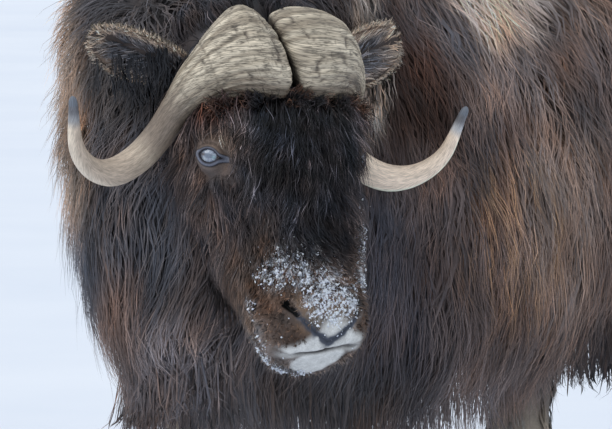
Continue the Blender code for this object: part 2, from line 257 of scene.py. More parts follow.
def drift(p, scale, seed):
    """Smooth field of about -1..1: eight sine waves of that length in seeded directions."""
    rng = np.random.default_rng(seed)
    wave = unit(rng.normal(size=(8, 3))) * (.6 + .8 * rng.random((8, 1))) * TAU / scale
    return np.sin(p @ wave.T + rng.random(8) * TAU).sum(-1) / 2.8


def grain(x, y, seed, columns):
    """Value noise in -1..1: seeded numbers on a lattice, eased between; wraps in x."""
    table = np.random.default_rng(seed).random((257, 257)) * 2 - 1
    i, j = np.floor(x).astype(int), np.floor(y).astype(int)
    u, v = ease(x - i, 0, 1), ease(y - j, 0, 1)
    a, b = np.mod(i, columns) % 257, np.mod(i + 1, columns) % 257
    c, d = j % 257, (j + 1) % 257
    return between(between(table[a, c], table[b, c], u), between(table[a, d], table[b, d], u), v)


def head_turn():
    """Rz @ Ry @ Rx for the head's three angles."""
    (cx, sx), (cy, sy), (cz, sz) = ((math.cos(t), math.sin(t)) for t in HEAD_ANGLES)
    return (np.array([(cz, -sz, 0), (sz, cz, 0), (0, 0, 1)])
            @ np.array([(cy, 0, sy), (0, 1, 0), (-sy, 0, cy)])
            @ np.array([(1, 0, 0), (0, cx, -sx), (0, sx, cx)]))


HEAD_TURN = head_turn()


def head_way(v, side=1):
    """A direction (out, forward, up) of the head as one of the row frame."""
    return (np.asarray(v, float) * (side, -1, 1)) @ HEAD_TURN.T


def head_point(v, side=1):
    return head_way(v, side) + HEAD_AT


def in_head(p):
    """Row frame points as (left, forward, up) of the head."""
    return ((p - HEAD_AT) @ HEAD_TURN) * (1, -1, 1)


def folded(q):
    """(left, forward, up) as (out, forward, up), the same on both sides."""
    return np.abs(q * (1, 0, 0)) + q * (0, 1, 1)


def parts(v):
    return v[..., 0], v[..., 1], v[..., 2]


def face_parts(p):
    """How far out, forward and up row frame points are in the head."""
    return parts(folded(in_head(p)))


def eye_parts(off, out, corner):
    """Offsets from an eye's middle as parts ahead, towards the tear corner, and the rest."""
    ahead, across = off @ out, off @ corner
    return ahead, across, length_of(off - ahead[..., None] * out - across[..., None] * corner)


def squared(corner, out):
    """The way to the tear corner made square to the way the eye looks."""
    return unit(corner - out * (corner @ out))


EYE_OUT = unit(EYE_WAY)
EYE_TEAR = squared(EYE_CORNER, EYE_OUT)


# ---------------------------------------------------------------- surfaces on grids

class Form:
    """A body form as two grids over (row, turn): its skin and the outline of its coat.

    Both are rows x columns x 3 and wrap round in the columns. `along` and `round` are the
    outline's differences per row and per column; `normal` their unit product, outwards."""

    def __init__(self, skin, outline):
        self.skin, self.outline = skin, outline
        self.along = np.gradient(outline, axis=0)
        self.round = (np.roll(outline, -1, 1) - np.roll(outline, 1, 1)) / 2
        product = np.cross(self.round, self.along)
        self.area = np.linalg.norm(product, axis=2)
        self.normal = unit(product)
        if (self.normal * (outline - outline.mean(axis=1, keepdims=True))).sum() < 0:
            self.normal = -self.normal

    def read(self, grid, s, a):
        """Bilinear reading of a grid at fractional row s and column a."""
        rows, columns = grid.shape[:2]
        s = np.clip(s, 0, rows - 1.001)
        i = s.astype(int)
        a = np.mod(a, columns)
        j = a.astype(int) % columns
        k = (j + 1) % columns
        f, g = (s - i)[..., None], (a - np.floor(a))[..., None]
        return between(between(grid[i, j], grid[i, k], g),
                       between(grid[i + 1, j], grid[i + 1, k], g), f)

    def walk(self, s, a, step):
        """Moves along a 3-D step laid on the surface: along * ds + round * da = step, by
        at most 12 rows and columns."""
        u, v = self.read(self.along, s, a), self.read(self.round, s, a)
        uu, uv, vv = (u * u).sum(-1), (u * v).sum(-1), (v * v).sum(-1)
        ud, vd = (u * step).sum(-1), (v * step).sum(-1)
        det = uu * vv - uv * uv + 1e-11
        ds, da = np.clip([(ud * vv - vd * uv) / det, (vd * uu - ud * uv) / det], -12, 12)
        return np.clip(s + ds, 0, len(self.skin) - 1.01), a + da

    def scatter(self, count, weight, rng):
        """Root places: cells drawn by area times weight in even strata, then jittered."""
        share = (self.area * weight(self.outline, self.normal))[:-1]
        total = np.cumsum(share.ravel())
        draw = (np.arange(count) + rng.random(count)) / count * total[-1]
        pick = np.minimum(np.searchsorted(total, draw), share.size - 1)
        s, a = np.divmod(pick, share.shape[1])
        return s + rng.random(count), a + rng.random(count)


def grids(stations, columns):
    """The stations down the rows, and the angle round the columns, as two grids."""
    turn = TAU * np.arange(columns)[None] / columns + np.zeros((len(stations), 1))
    return stations[:, None] + np.zeros((1, columns)), turn


def unit_ring(a, upper, lower):
    """Superellipse at angle a: (cos, sin) * (|cos|^n + |sin|^n)^(-1/n), n by half."""
    c, s = np.cos(a), np.sin(a)
    n = np.where(s >= 0, upper, lower)
    r = (np.abs(c) ** n + np.abs(s) ** n) ** (-1 / n)
    return c * r, s * r


def height_at(up, widest, top, bottom):
    """Height over the widest level: up times the reach to the top or to the bottom."""
    return np.where(up > 0, (top - widest) * up, (widest - bottom) * up)


def torso_form():
    """Rings of (centre + turn * half width * across, widest + height * up) along the body.

    The skin's rings are the same with the coat's depth taken off and a rounder underside;
    its rump is drawn in along the body by 0.055 * exp(-(row / 1.3)^2), and its neck end,
    which the head hides, drawn back by 0.11 and narrowed by a third in the same way."""
    s, a = grids(np.linspace(0, len(TORSO) - 1, TORSO_ROWS), 150)
    x, y, turn, half, top, bottom, widest, skirt = np.moveaxis(through(TORSO, s), -1, 0)
    side, over_top, under = parts(through(TORSO_COAT, s))
    angle = np.radians(turn)

    def rings(half, top, bottom, skirt, y_shift):
        across, up = unit_ring(a, 2.1, skirt)
        return np.stack([x + np.cos(angle) * half * across,
                         y + y_shift + np.sin(angle) * half * across,
                         widest + height_at(up, widest, top, bottom)], -1) - PLAN_CENTRE

    front = bell(s - (len(TORSO) - 1), .9)
    skin = rings(np.maximum(half - side, .3 * half) * (1 - .35 * front), top - over_top,
                 bottom + under, np.minimum(skirt, 2.3), .11 * front - .055 * bell(s, 1.3))
    return Form(skin, rings(half, top, bottom, skirt, 0))


def head_form():
    """Rings of (half width * across * jaw narrowing, widest + height * up), with a brow.

    They lie closer towards the muzzle."""
    t, a = grids(np.concatenate([np.linspace(0, 4, 20, endpoint=False),
                                 np.linspace(4, 8, 50, endpoint=False),
                                 np.linspace(8, 15, 166)]), 240)
    forward, half, top, bottom, widest = np.moveaxis(through(HEAD, t), -1, 0)
    side, over_top, under = parts(through(HEAD_COAT, t))
    across, up = unit_ring(a, 2.4, 2.4)
    narrowing = 1 - JAW_NARROWNESS * np.clip(-up, 0, 1) ** 1.5

    def rings(half, top, bottom):
        height = height_at(up, widest, top, bottom)
        brow = bell(forward - .03, .035) * bell(height + widest + .04, .03)
        return np.stack([(half * narrowing + .007 * brow) * across, forward,
                         widest + height], -1)

    return rings(half - side, top - over_top, bottom + under), rings(half, top, bottom)


def distance_to_line(p, line):
    """Distance to a polyline and the share of its length at the nearest point."""
    line = np.asarray(line, float)
    best, share = np.full(p.shape[:-1], 9.0), np.zeros(p.shape[:-1])
    for k, (start, end) in enumerate(zip(line, line[1:])):
        way = end - start
        f = np.clip(((p - start) @ way) / (way @ way), 0, 1)
        d = length_of(p - start - f[..., None] * way)
        share = np.where(d < best, (k + f) / (len(line) - 1), share)
        best = np.minimum(d, best)
    return best, share


def face_relief(skin):
    """How far the head's skin stands out, in metres, at (left, forward, up) points.

    Bells about lines for the nostrils, nose edge and mouth, and about points for the lips,
    chin, cheekbones and brows; hollows where the eyes are set in."""
    p = folded(skin)
    x, u, w = parts(p)
    raised = np.zeros(skin.shape[:-1])
    d, share = distance_to_line(p, NOSTRIL)
    raised -= .014 * bell(d, .0058 - .0036 * share) * (1 - .5 * share)
    raised += .003 * bell(d - .0085, .0045) * (u < .35)
    d, share = distance_to_line(p, NOSE_EDGE)
    raised -= .0022 * bell(d, .003) * (.4 + .6 * share)
    raised += .002 * (ease(w, -.075, -.058) * ease(u, .27, .31)) * bell(x, .045)
    d, share = mouth_distance(lip_frame(skin))
    raised -= .006 * bell(d, .0024) * (1 - .6 * share)
    raised += .0026 * bell(d - .008, .006)
    lips = MOUTH[0][2]
    raised -= .003 * (ease(lips - w, 0.0, .012) * ease(u, .33, .365)) * bell(x, .06)
    raised += .0035 * bell_at(p, (0.0, .372, -.128), .022)
    raised -= .0012 * bell(x, .0022) * (u > .34) * ease(w, lips - .004, lips + .004)
    raised += .006 * bell_at(p, (.098, .125, -.105), .03)
    raised += .006 * bell_at(p, (.105, .04, -.03), .026, (1, .8, 1))
    ahead, across, rest = eye_parts(p - EYE_AT, EYE_OUT, EYE_TEAR)
    reach = np.hypot(np.where(across > 0, across / 1.4, across), rest)
    near = (ahead > -.03) & (x > .03)
    raised -= .02 * ease(.034 - reach, 0, .012) * near
    raised += .003 * bell(reach - .046, .012) * near
    return raised + (drift(skin, .03, 5) * .0007 + drift(skin, .012, 6) * .0003)


def leg_form(foot):
    """Ovals (half width * cos, half depth * sin) carried up the leg's stations."""
    stations, x, y = FEET[foot]
    t, a = grids(np.linspace(0, len(stations) - 1, 57), 48)
    z, half, deep, shift = np.moveaxis(through(stations, t), -1, 0)

    def rings(less):
        return np.stack([x + (half - less) * np.cos(a), y + shift + (deep - less) * np.sin(a),
                         z + less * .3], -1) - PLAN_CENTRE

    return Form(rings(LEG_COAT), rings(0))


def tail_form():
    """A drop along the tail's axis: radius * sin(pi * share^0.6) with a fuller middle."""
    share, a = grids(np.linspace(.02, .99, 25), 32)
    axis = TAIL_TIP - TAIL_ROOT
    side = np.array([1.0, 0, 0])
    other = np.cross(unit(axis), side)

    def rings(radius, reach):
        r = radius * np.sin(math.pi * share**.6) ** .8
        return (TAIL_ROOT + axis * (share * reach)[..., None]
                + (r * np.cos(a))[..., None] * side + (r * np.sin(a))[..., None] * other)

    return Form(rings(.022, .62), rings(TAIL_RADIUS, 1.0))


def ear_form(side):
    """Flattened rings from root to tip, bent by cup * (cos^2 - 1/2) towards the opening."""
    root, tip = head_point(EAR_ROOT, side), head_point(EAR_TIP[side], side)
    way = unit(tip - root)
    opens = squared(head_way(EAR_OPENS[side], side), way)
    broad = np.cross(way, opens)
    table = np.vstack([EAR, (1.0, .0015, 0.0)])
    t, a = grids(np.linspace(0, len(table) - 1, 49), 64)
    share, half, cup = parts(through(table, t))

    def rings(less, thick):
        across = np.cos(a) * np.maximum(half - less, half * .6)
        bend = EAR_CUP * cup * (np.cos(a) ** 2 - .5)
        deep = np.sin(a) * thick / 2 * np.minimum(1, half / .02) + bend
        middle = root + (tip - root) * (share * (1 - less * 4))[..., None]
        return middle + across[..., None] * broad + deep[..., None] * opens

    form = Form(rings(.005, .005), rings(0.0, EAR_THICKNESS))
    form.normal = unit(mix(form.normal, np.sign(np.sin(a))[..., None] * opens, .5 + 0 * a))
    form.opens, form.way, form.broad = opens, way, broad
    return form


# ---------------------------------------------------------------- markings

def seen_at(p):
    """A point's column and row in the view, from its parts along the view's axes."""
    off = p - TARGET
    scale = CAMERA_FAR / (CAMERA_FAR - off @ CAMERA_WAY) / PIXEL
    return VIEW_MIDDLE[0] + off @ CAMERA_RIGHT * scale, VIEW_MIDDLE[1] - off @ CAMERA_UP * scale


def markings(p, n):
    """Root and tip colours of the coat, skin and hair alike."""
    y, z = p[..., 1], p[..., 2]
    patch, fine = drift(p, .16, 11), drift(p, .05, 12)
    low = ease(.62 - z + .05 * patch, 0, .18) * ease(y, -.3, .1)
    top = (ease(n[..., 2] + .12 * patch, .62, .9) * ease(y, -.02, .18)
           * ease(.85 - y, 0, .2))
    layers = [(ease(y, -.42, -.05), (58, 48, 46), (134, 114, 104)),
              (low, (36, 31, 31), (82, 72, 70)), (top, (132, 112, 96), (208, 190, 168))]
    column, row = seen_at(p)
    facing = ease(n @ CAMERA_WAY, -.25, .2)
    # the patches include painted shade and painted light, as marked in PATCHES
    for x, y0, reach_x, reach_y, strength, dark, light in PATCHES:
        inside = (np.hypot((column - x) / reach_x, (row - y0) / reach_y)
                  + .22 * patch + .12 * fine)
        layers.append((strength * facing * ease(1.15 - inside, 0, .6), dark, light))
    rim = ease(-(n @ CAMERA_RIGHT), .82, .98) * ease(-y, .1, .35) * ease(z, .68, .8)
    layers.append((rim, (80, 65, 57), (160, 136, 118)))
    root, tip = painted(display(40, 36, 38), display(98, 90, 90), *layers)
    shade = (1 + .26 * patch + .1 * fine)[..., None]
    warm = np.array((.15, .01, -.1)) * np.maximum(drift(p, .09, 14), -.3)[..., None]
    return root * shade * (1 + warm), tip * shade * (1 + warm)


def face_markings(p, n):
    """The head's colours, from its own frame: dark forehead and cheeks, paler eye rings,
    grey-brown muzzle and a brown nose pad; bare_face paints the dark bare nose edge and
    white lips over them on the skin."""
    q = in_head(p)
    m = folded(q)
    x, u, w = parts(m)
    eye = bell_at(m - EYE_AT, .02 * EYE_OUT, .03)
    upper = np.cross(EYE_TEAR, EYE_OUT)
    upper = upper * np.sign(upper @ EYE_UPPER)
    off = m - EYE_AT
    lid = (bell(np.hypot((off @ EYE_TEAR - .012) / 1.5, off @ upper - .02), .015)
           * (off @ EYE_OUT > -.01))
    crown = ease(.098 - x, 0, .03) * ease(.17 - u, 0, .07) * ease(w, -.055, -.02)
    bridge = ease(.075 - x, 0, .03) * ease(.275 - u, 0, .05) * ease(w, -.07, -.04)
    brow = bell_at(m, (.116, -.004, -.045), .034, (.8, 1.1, 1))
    rust = bell_at(q, (-.078, .285, -.062), .032, (1, 1, .8))
    pad = ease(.06 - x, 0, .015) * ease(u, .285, .305) * ease(w, -.066, -.055)
    root, tip = painted(
        display(30, 27, 30), display(74, 68, 70),
        (ease(-w, .07, .13) * ease(u, -.1, 0.0), (46, 39, 39), (108, 92, 86)),  # cheek
        (ease(-w, .17, .24) * ease(.24 - u, 0, .08), (30, 28, 31), (72, 68, 72)),  # jaw
        (crown, (11, 12, 14), (34, 37, 43)),
        (ease(u, .15, .27), (46, 36, 31), (98, 82, 73)),  # muzzle
        (bridge, (17, 16, 19), (46, 44, 48)),
        (eye, (78, 67, 60), (128, 113, 104)),
        (.85 * lid, (96, 80, 70), (146, 126, 112)),
        (brow, (44, 24, 17), (92, 54, 38)),
        (ease(-w, .075, .11) * ease(u, .26, .32), (84, 74, 70), (132, 120, 114)),
        (rust, (66, 44, 33), (104, 79, 64)),
        (pad, (72, 56, 44), (126, 106, 90)))
    fine = (1 + (.14 * drift(p, .03, 13) + .2 * drift(p, .075, 15)))[..., None]
    warm = 1 + np.array((.09, 0.0, -.08)) * (drift(p, .05, 16) * (1 - eye))[..., None]
    caught = ease(drift(p, .007, 94) + .7 * drift(p, .018, 95), .1, .7)
    frosted = np.clip(frost_share(q) * .5, 0, .9) * caught
    return (over(root * fine * warm, ((150, 150, 158), frosted * .4)),
            over(tip * fine * warm, ((222, 227, 236), frosted)))


def mouth_distance(lip):
    """Distance to the mouth's line with the forward part counted by a third, and the
    share along it, so the line need not lie exactly on the skin."""
    less = np.array((1.0, .33, 1.0))
    return distance_to_line(lip * less, np.array(MOUTH) * less)


def lip_frame(q):
    """(out, forward, up) of (left, forward, up) points, with the mouth's slant taken out:
    up - 0.25 * left, as the lower jaw is held a little to the right."""
    return folded(q - .25 * np.clip(q[..., :1], -.05, .028) * (0, 0, 1))


def lip_share(m):
    """0..1 at lip_frame points: pale lower lip and chin, and the upper lip's pale edge,
    which widens towards the nose."""
    x, u, w = parts(m)
    chin = ease(1.2 - np.hypot(x / .037, (w + .104) / .031), 0, .3) * ease(u, .335, .35)
    line, _ = mouth_distance(m)
    upper = ease(.042 - line - .36 * x, 0, .014) * ease(w, -.088, -.078)
    edge = bell(line, .006) * ease(.075 - x, 0, .02)
    return np.clip(np.maximum.reduce([chin, upper, edge]), 0, 1)


def bare_face(p, colour):
    """Paints the bare skin of nose, lips and nostrils over a colour at points p, with painted
    shade in the mouth's slit, the nose edge's groove and the nostril holes.
    """
    q = in_head(p)
    lip, m = lip_frame(q), folded(q)
    line, along_mouth = mouth_distance(lip)
    edge, share = distance_to_line(m, NOSE_EDGE)
    band = bell(edge - .0014 * share,
                (.0036 + .0024 * share) * (1 + .25 * drift(p, .012, 17)))
    hole, share = distance_to_line(m, NOSTRIL)
    mouth = np.clip(1.5 * bell(line, .0026), 0, 1) * (.97 - .4 * along_mouth)
    # painted shade: the dark mouth slit (40, 35, 38)
    return over(colour, ((204, 204, 202), lip_share(lip)), ((40, 35, 38), mouth),
                # painted shade: the dark line (28, 30, 38) in the nose edge's groove
                ((66, 71, 83), np.clip(1.5 * band, 0, 1)), ((28, 30, 38), .7 * bell(edge, .0022)),
                # painted shade: the nostril holes near-black
                ((10, 9, 10), ease(.0088 - .0045 * share - hole, 0, .003)))


def frost_share(q):
    """Sum of the patches' bells at (left, forward, up) points, each over its reach."""
    near = length_of(q[..., None, :] - FROST[:, :3])
    return (FROST[:, 4] * bell(near, FROST[:, 3])).sum(-1)


# ---------------------------------------------------------------- meshes

def build(name, points, faces, material, colour=None, maps=(), normals=None, smooth=True):
    """A joined mesh from arrays: points n x 3, triangles m x 3, a colour per point, and
    corner maps as (name, m x 3 x 2)."""
    mesh = bpy.data.meshes.new(name)
    mesh.vertices.add(len(points))
    mesh.vertices.foreach_set("co", points.astype(np.float32).ravel())
    mesh.loops.add(faces.size)
    mesh.loops.foreach_set("vertex_index", faces.astype(np.int32).ravel())
    mesh.polygons.add(len(faces))
    mesh.polygons.foreach_set("loop_start", np.arange(0, faces.size, 3, dtype=np.int32))
    mesh.polygons.foreach_set("use_smooth", np.full(len(faces), smooth))
    mesh.update(calc_edges=True)
    if colour is not None:
        layer = mesh.color_attributes.new("shade", "FLOAT_COLOR", "POINT")
        rgba = np.ones((len(points), 4), np.float32)
        rgba[:, :3] = np.clip(colour, 0, 1)
        layer.data.foreach_set("color", rgba.ravel())
    for map_name, uv in maps:
        mesh.uv_layers.new(name=map_name).data.foreach_set("uv", uv.astype(np.float32).ravel())
    if normals is not None:
        mesh.normals_split_custom_set_from_vertices(normals.astype(np.float32))
    mesh.materials.append(material)
    piece = bpy.data.objects.new(name, mesh)
    bpy.context.scene.collection.objects.link(piece)
    return piece


def finish_piece(piece, slot, *nodes):
    """Every piece rides on the one body; some stand for CAD nodes."""
    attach(piece, "root")
    if nodes:
        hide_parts(*nodes)
    return piece


def grid_tris(rows, columns):
    """Triangles of a grid that wraps round in its columns."""
    i, j = np.mgrid[0 : rows - 1, 0:columns]
    k = (j + 1) % columns
    a, b, c, d = (m.ravel() for m in (i * columns + j, i * columns + k, (i + 1) * columns + k,
                                      (i + 1) * columns + j))
    return np.vstack([np.stack([a, b, c], 1), np.stack([a, c, d], 1)])


def closed(grid, colour):
    """A grid's points, colours and triangles, with a middle point closing each end."""
    rows, columns = grid.shape[:2]
    points, shades = (np.vstack([v.reshape(-1, 3), v[0].mean(0), v[-1].mean(0)])
                      for v in (grid, colour))
    j = np.arange(columns)
    k = (j + 1) % columns
    last = (rows - 1) * columns
    caps = [np.stack([k, j, 0 * j + rows * columns], 1),
            np.stack([last + j, last + k, 0 * j + rows * columns + 1], 1)]
    return points, shades, np.vstack([grid_tris(rows, columns), *caps])


def outward(points, tris):
    """Triangles turned so that the closed shell's signed volume is positive."""
    a, b, c = (points[tris[:, k]] for k in range(3))
    return tris if (a * np.cross(b, c)).sum() > 0 else tris[:, ::-1]


class Joined:
    """Shells collected into one mesh."""

    def __init__(self):
        self.parts, self.count = [], 0

    def add(self, points, shades, tris):
        self.parts.append((points, shades, tris + self.count))
        self.count += len(points)

    def shell(self, grid, colour):
        points, shades, tris = closed(grid, colour)
        self.add(points, shades, outward(points - points.mean(0), tris))

    def arrays(self):
        """All points, all colours, all triangles."""
        return (np.vstack(arrays) for arrays in zip(*self.parts))


# ---------------------------------------------------------------- materials

class Finish:
    """One material in the making: its shader, and the nodes that the finishes share."""

    def __init__(self, name, base, roughness, **sockets):
        self.made = bpy.data.materials.new(name)
        self.made.use_nodes = True
        self.tree = self.made.node_tree
        self.shader = self.tree.nodes["Principled BSDF"]
        for socket, value in (dict(Base_Color=(*base, 1), Roughness=roughness) | sockets).items():
            self.shader.inputs[socket.replace("_", " ")].default_value = value

    def node(self, kind, *inputs, out=0, **settings):
        """An output of a new node, with inputs as (socket, number or another output)."""
        made = self.tree.nodes.new("ShaderNode" + kind)
        for key, value in settings.items():
            setattr(made, key, value)
        for socket, value in inputs:
            if isinstance(value, bpy.types.NodeSocket):
                self.tree.links.new(value, made.inputs[socket])
            else:
                made.inputs[socket].default_value = value
        return made.outputs[out]

    def place(self):
        return self.node("TexCoord", out="Object")

    def map(self, name):
        return self.node("UVMap", uv_map=name)

    def shade(self):
        return self.node("VertexColor", layer_name="shade")

    def scaled(self, vector, scale):
        return self.node("Mapping", ("Vector", vector), ("Scale", scale))

    def noise(self, vector, scale, detail, *more, **settings):
        return self.node("TexNoise", ("Vector", vector), ("Scale", scale), ("Detail", detail),
                         *more, **settings)

    def lines(self, vector, detail, *more):
        """Noise on a piece's own map."""
        return self.noise(vector, 1.0, detail, *more, noise_dimensions="2D")

    def ranged(self, value, *limits):
        """A value mapped from limits 1 and 2 to limits 3 and 4."""
        return self.node("MapRange", (0, value), *zip((1, 2, 3, 4), limits))

    def sum(self, one, two):
        return self.node("Math", (0, one), (1, two), operation="ADD")

    def times(self, colour, factor):
        """A colour times a grey factor."""
        return self.node("Mix", (0, 1), (6, colour), (7, factor), out=2, data_type="RGBA",
                         blend_type="MULTIPLY")

    def tones(self, value, *colours):
        """A ramp between two display colours."""
        colour = self.node("ValToRGB", (0, value))
        for stop, rgb in zip(colour.node.color_ramp.elements, colours):
            stop.color = (*display(*rgb), 1)
        return colour

    def done(self, colour, height=None, strength=0.0, distance=0.0):
        """Links the colour and a bump, and gives the material."""
        self.tree.links.new(colour, self.shader.inputs["Base Color"])
        if height is not None:
            bump = self.node("Bump", ("Strength", strength), ("Distance", distance),
                             ("Height", height))
            self.tree.links.new(bump, self.shader.inputs["Normal"])
        return self.made


def hair_material(name, roughness, gloss, sheen, streak=.42):
    """Hair: the shade attribute times fine streaks along the lock, with a bump of them."""
    f = Finish(name, (.05, .04, .03), roughness, Specular_IOR_Level=gloss,
               Sheen_Weight=sheen, Sheen_Roughness=.45, Sheen_Tint=(.82, .9, 1.0, 1))
    lines = f.lines(f.map("strands"), 2.0)
    tone = f.ranged(lines, .3, .7, 1 - streak, 1 + streak)
    return f.done(f.times(f.shade(), tone), lines, .4, .0006)


def skin_material():
    """Skin and the finest hair on it: mottled shade with a fine grain."""
    f = Finish("skin_and_down", (.05, .04, .035), .62, Specular_IOR_Level=.3)
    place = f.place()
    both = f.sum(f.noise(place, 420.0, 4.0), f.noise(place, 60.0, 3.0))
    tone = f.ranged(both, .6, 1.4, .7, 1.3)
    return f.done(f.times(f.shade(), tone), both, .5, .0008)


def horn_material():
    """Horn: the shade attribute times fibre streaks on the piece's own map, broad bands,
    and, over the boss, dark lines where a broad swirl crosses its middle value."""
    f = Finish("horn_fibre", (.4, .33, .25), .48, Specular_IOR_Level=.4)
    uv = f.map("fibres")
    fibre = f.lines(uv, 5.0, ("Roughness", .6))
    band = f.lines(f.scaled(uv, (.22, .3, 1)), 2.0)
    swirl = f.lines(f.scaled(uv, (.42, .62, 1)), 3.0)
    off = f.node("Math", (0, swirl), (1, .5), operation="SUBTRACT")
    line = f.ranged(f.node("Math", (0, off), operation="ABSOLUTE"), 0.0, .1, .32, 1.12)
    length = f.node("SeparateXYZ", (0, uv), out=1)
    boss = f.ranged(length, 9.0, 17.0, 1.0, .25)
    colour = f.times(f.shade(), f.ranged(fibre, .3, .7, .74, 1.2))
    colour = f.times(colour, f.ranged(band, .3, .7, .85, 1.12))
    colour = f.times(colour, f.node("Mix", (0, boss), (2, 1.0), (3, line), data_type="FLOAT"))
    return f.done(colour, fibre, .45, .0007)


def eye_material():
    """A wet eye: the shade attribute with fine mottling under a clear coat."""
    f = Finish("wet_eye", (.2, .2, .25), .12, Specular_IOR_Level=.6, Coat_Weight=1.0,
               Coat_Roughness=.03)
    tone = f.ranged(f.noise(f.place(), 260.0, 3.0), .3, .7, .8, 1.15)
    return f.done(f.times(f.shade(), tone))


def hoof_material():
    """Hoof horn: dark, with growth lines round it and fine upright grain."""
    f = Finish("hoof_horn", (.05, .045, .04), .45, Specular_IOR_Level=.45)
    place = f.place()
    both = f.sum(f.noise(f.scaled(place, (12, 12, 320)), 1.0, 2.0),
                 f.noise(f.scaled(place, (420, 420, 40)), 1.0, 3.0))
    share = f.ranged(both, 0, 1, -.5, .5)
    return f.done(f.tones(share, (38, 34, 31), (104, 92, 80)), both, .5, .001)


def frost_material():
    """Snow crumbs: nearly white, slightly see-through, with fine grains."""
    f = Finish("frost", display(236, 240, 246), .45, Subsurface_Weight=.35,
               Subsurface_Radius=(.004, .004, .005))
    fine = f.noise(f.place(), 900.0, 2.0)
    return f.done(f.tones(fine, (206, 214, 228), (246, 248, 252)), fine, .6, .0008)


def floor_material():
    f = Finish("pale_floor", display(226, 231, 240), .7)
    return f.done(f.tones(f.noise(f.place(), 1.4, 4.0), (216, 223, 235), (234, 238, 245)))


HAIR = hair_material("long_hair", .6, .24, .07)
SILKY_HAIR = hair_material("silky_hair", .32, .2, 0.0)
FACE_HAIR = hair_material("face_hair", .5, .12, .01)
HORN_FINISH, EYE_FINISH, HOOF_FINISH = horn_material(), eye_material(), hoof_material()


# ---------------------------------------------------------------- locks of hair

def as_function(value):
    """A function of (p, n) as it is; a number or a direction as one that gives it."""
    if value is None or callable(value):
        return value
    return lambda p, n: value + 0 * (p if np.ndim(value) else p[..., 0])


class Coat:
    """Settings of one region's hair. weight, length, width, flow and lift are numbers,
    directions or functions of (p, n); colours is a function of (p, n)."""

    weight = 1  # of the roots' number, for each part of the area
    rows = 5  # rings of a lock, root to last before the tip
    clump = 6  # locks whose tips gather
    spread = .009  # of a clump's roots, metres
    gather = .6  # share of the way that tips move to the clump's middle
    low, high = .35, 1.0  # range of the height that locks rise to
    wave, wavelength = .0025, .05  # sideways wave, metres
    hangs = True  # leaves the body and hangs where the body turns under
    hang_at = -.8  # the normal's height where it does
    hem = None  # lowest height of the coat at a root's row, or None
    stray = .004  # tips standing off the coat, metres
    vary = .22  # of the tone from lock to lock
    fade = .6  # power of the change from root to tip colour
    lift = None  # factor on the height that locks rise to
    finish = HAIR
    slot = "coat"
    # gleam stands for painted glints: locks made paler as if catching light
    gleam = (0.0, 1.0)  # share of locks that are paler, and by how much
    flat = .42  # height of a lock's section to its width
    soft = .6  # share of the body's own direction in a lock's shading

    def __init__(self, form, colours, **settings):
        self.form, self.colours = form, colours
        self.__dict__.update(settings)
        for key in ("weight", "length", "width", "flow", "lift"):
            setattr(self, key, as_function(getattr(self, key)))


def horn_line(side):
    """Sample points of a horn's middle line, its half width and thickness there, and how
    far out they are."""
    row = through(HORN, np.linspace(0, len(HORN) - 1, 70))
    return head_point(row[:, :3], side), row[:, 3], row[:, 4], row[:, 0]


HORN_LINES = [horn_line(side) for side, _ in SIDES]


def clear_of_horns(path, margin=.002):
    """Locks of which no point lies in a horn (outside the boss, where hair laps on it)."""
    good = np.ones(len(path), bool)
    for line, wide, thick, out in HORN_LINES:
        radius = np.where(out > .13, np.minimum(wide, thick) + margin, thick * .6)
        for k in range(1, path.shape[1]):
            good &= ~(length_of(path[:, k, None] - line[None]) < radius).any(1)
    return good


def clear_of_eyes(path, reach=.017):
    """Locks of which no point lies over an eye's opening or its tear corner."""
    good = np.ones(len(path), bool)
    for side, _ in SIDES:
        ahead, across, rest = eye_parts(path - head_point(EYE_AT, side),
                                        unit(head_way(EYE_WAY, side)),
                                        unit(head_way(EYE_CORNER, side)))
        d = np.hypot(np.where(across > 0, across / 2.3, across), 1.32 * rest)
        good &= ~((d < reach) & (ahead > -.02)).any(1)
    return good


def along_surface(v, normal):
    """What is left of v without its part along the normal."""
    return v - normal * (v * normal).sum(-1, keepdims=True)


def lock_tris(rows):
    """Triangles of a three-sided prism closed at its root and ending in a point."""
    ring = ((0, 1), (1, 2), (2, 0))
    tris = [tri for k in range(0, 3 * rows - 3, 3) for i, j in ring
            for tri in ((k + i, k + j, k + j + 3), (k + i, k + j + 3, k + i + 3))]
    last = 3 * (rows - 1)
    return np.array(tris + [(last + i, last + j, last + 3) for i, j in ring] + [(0, 2, 1)])


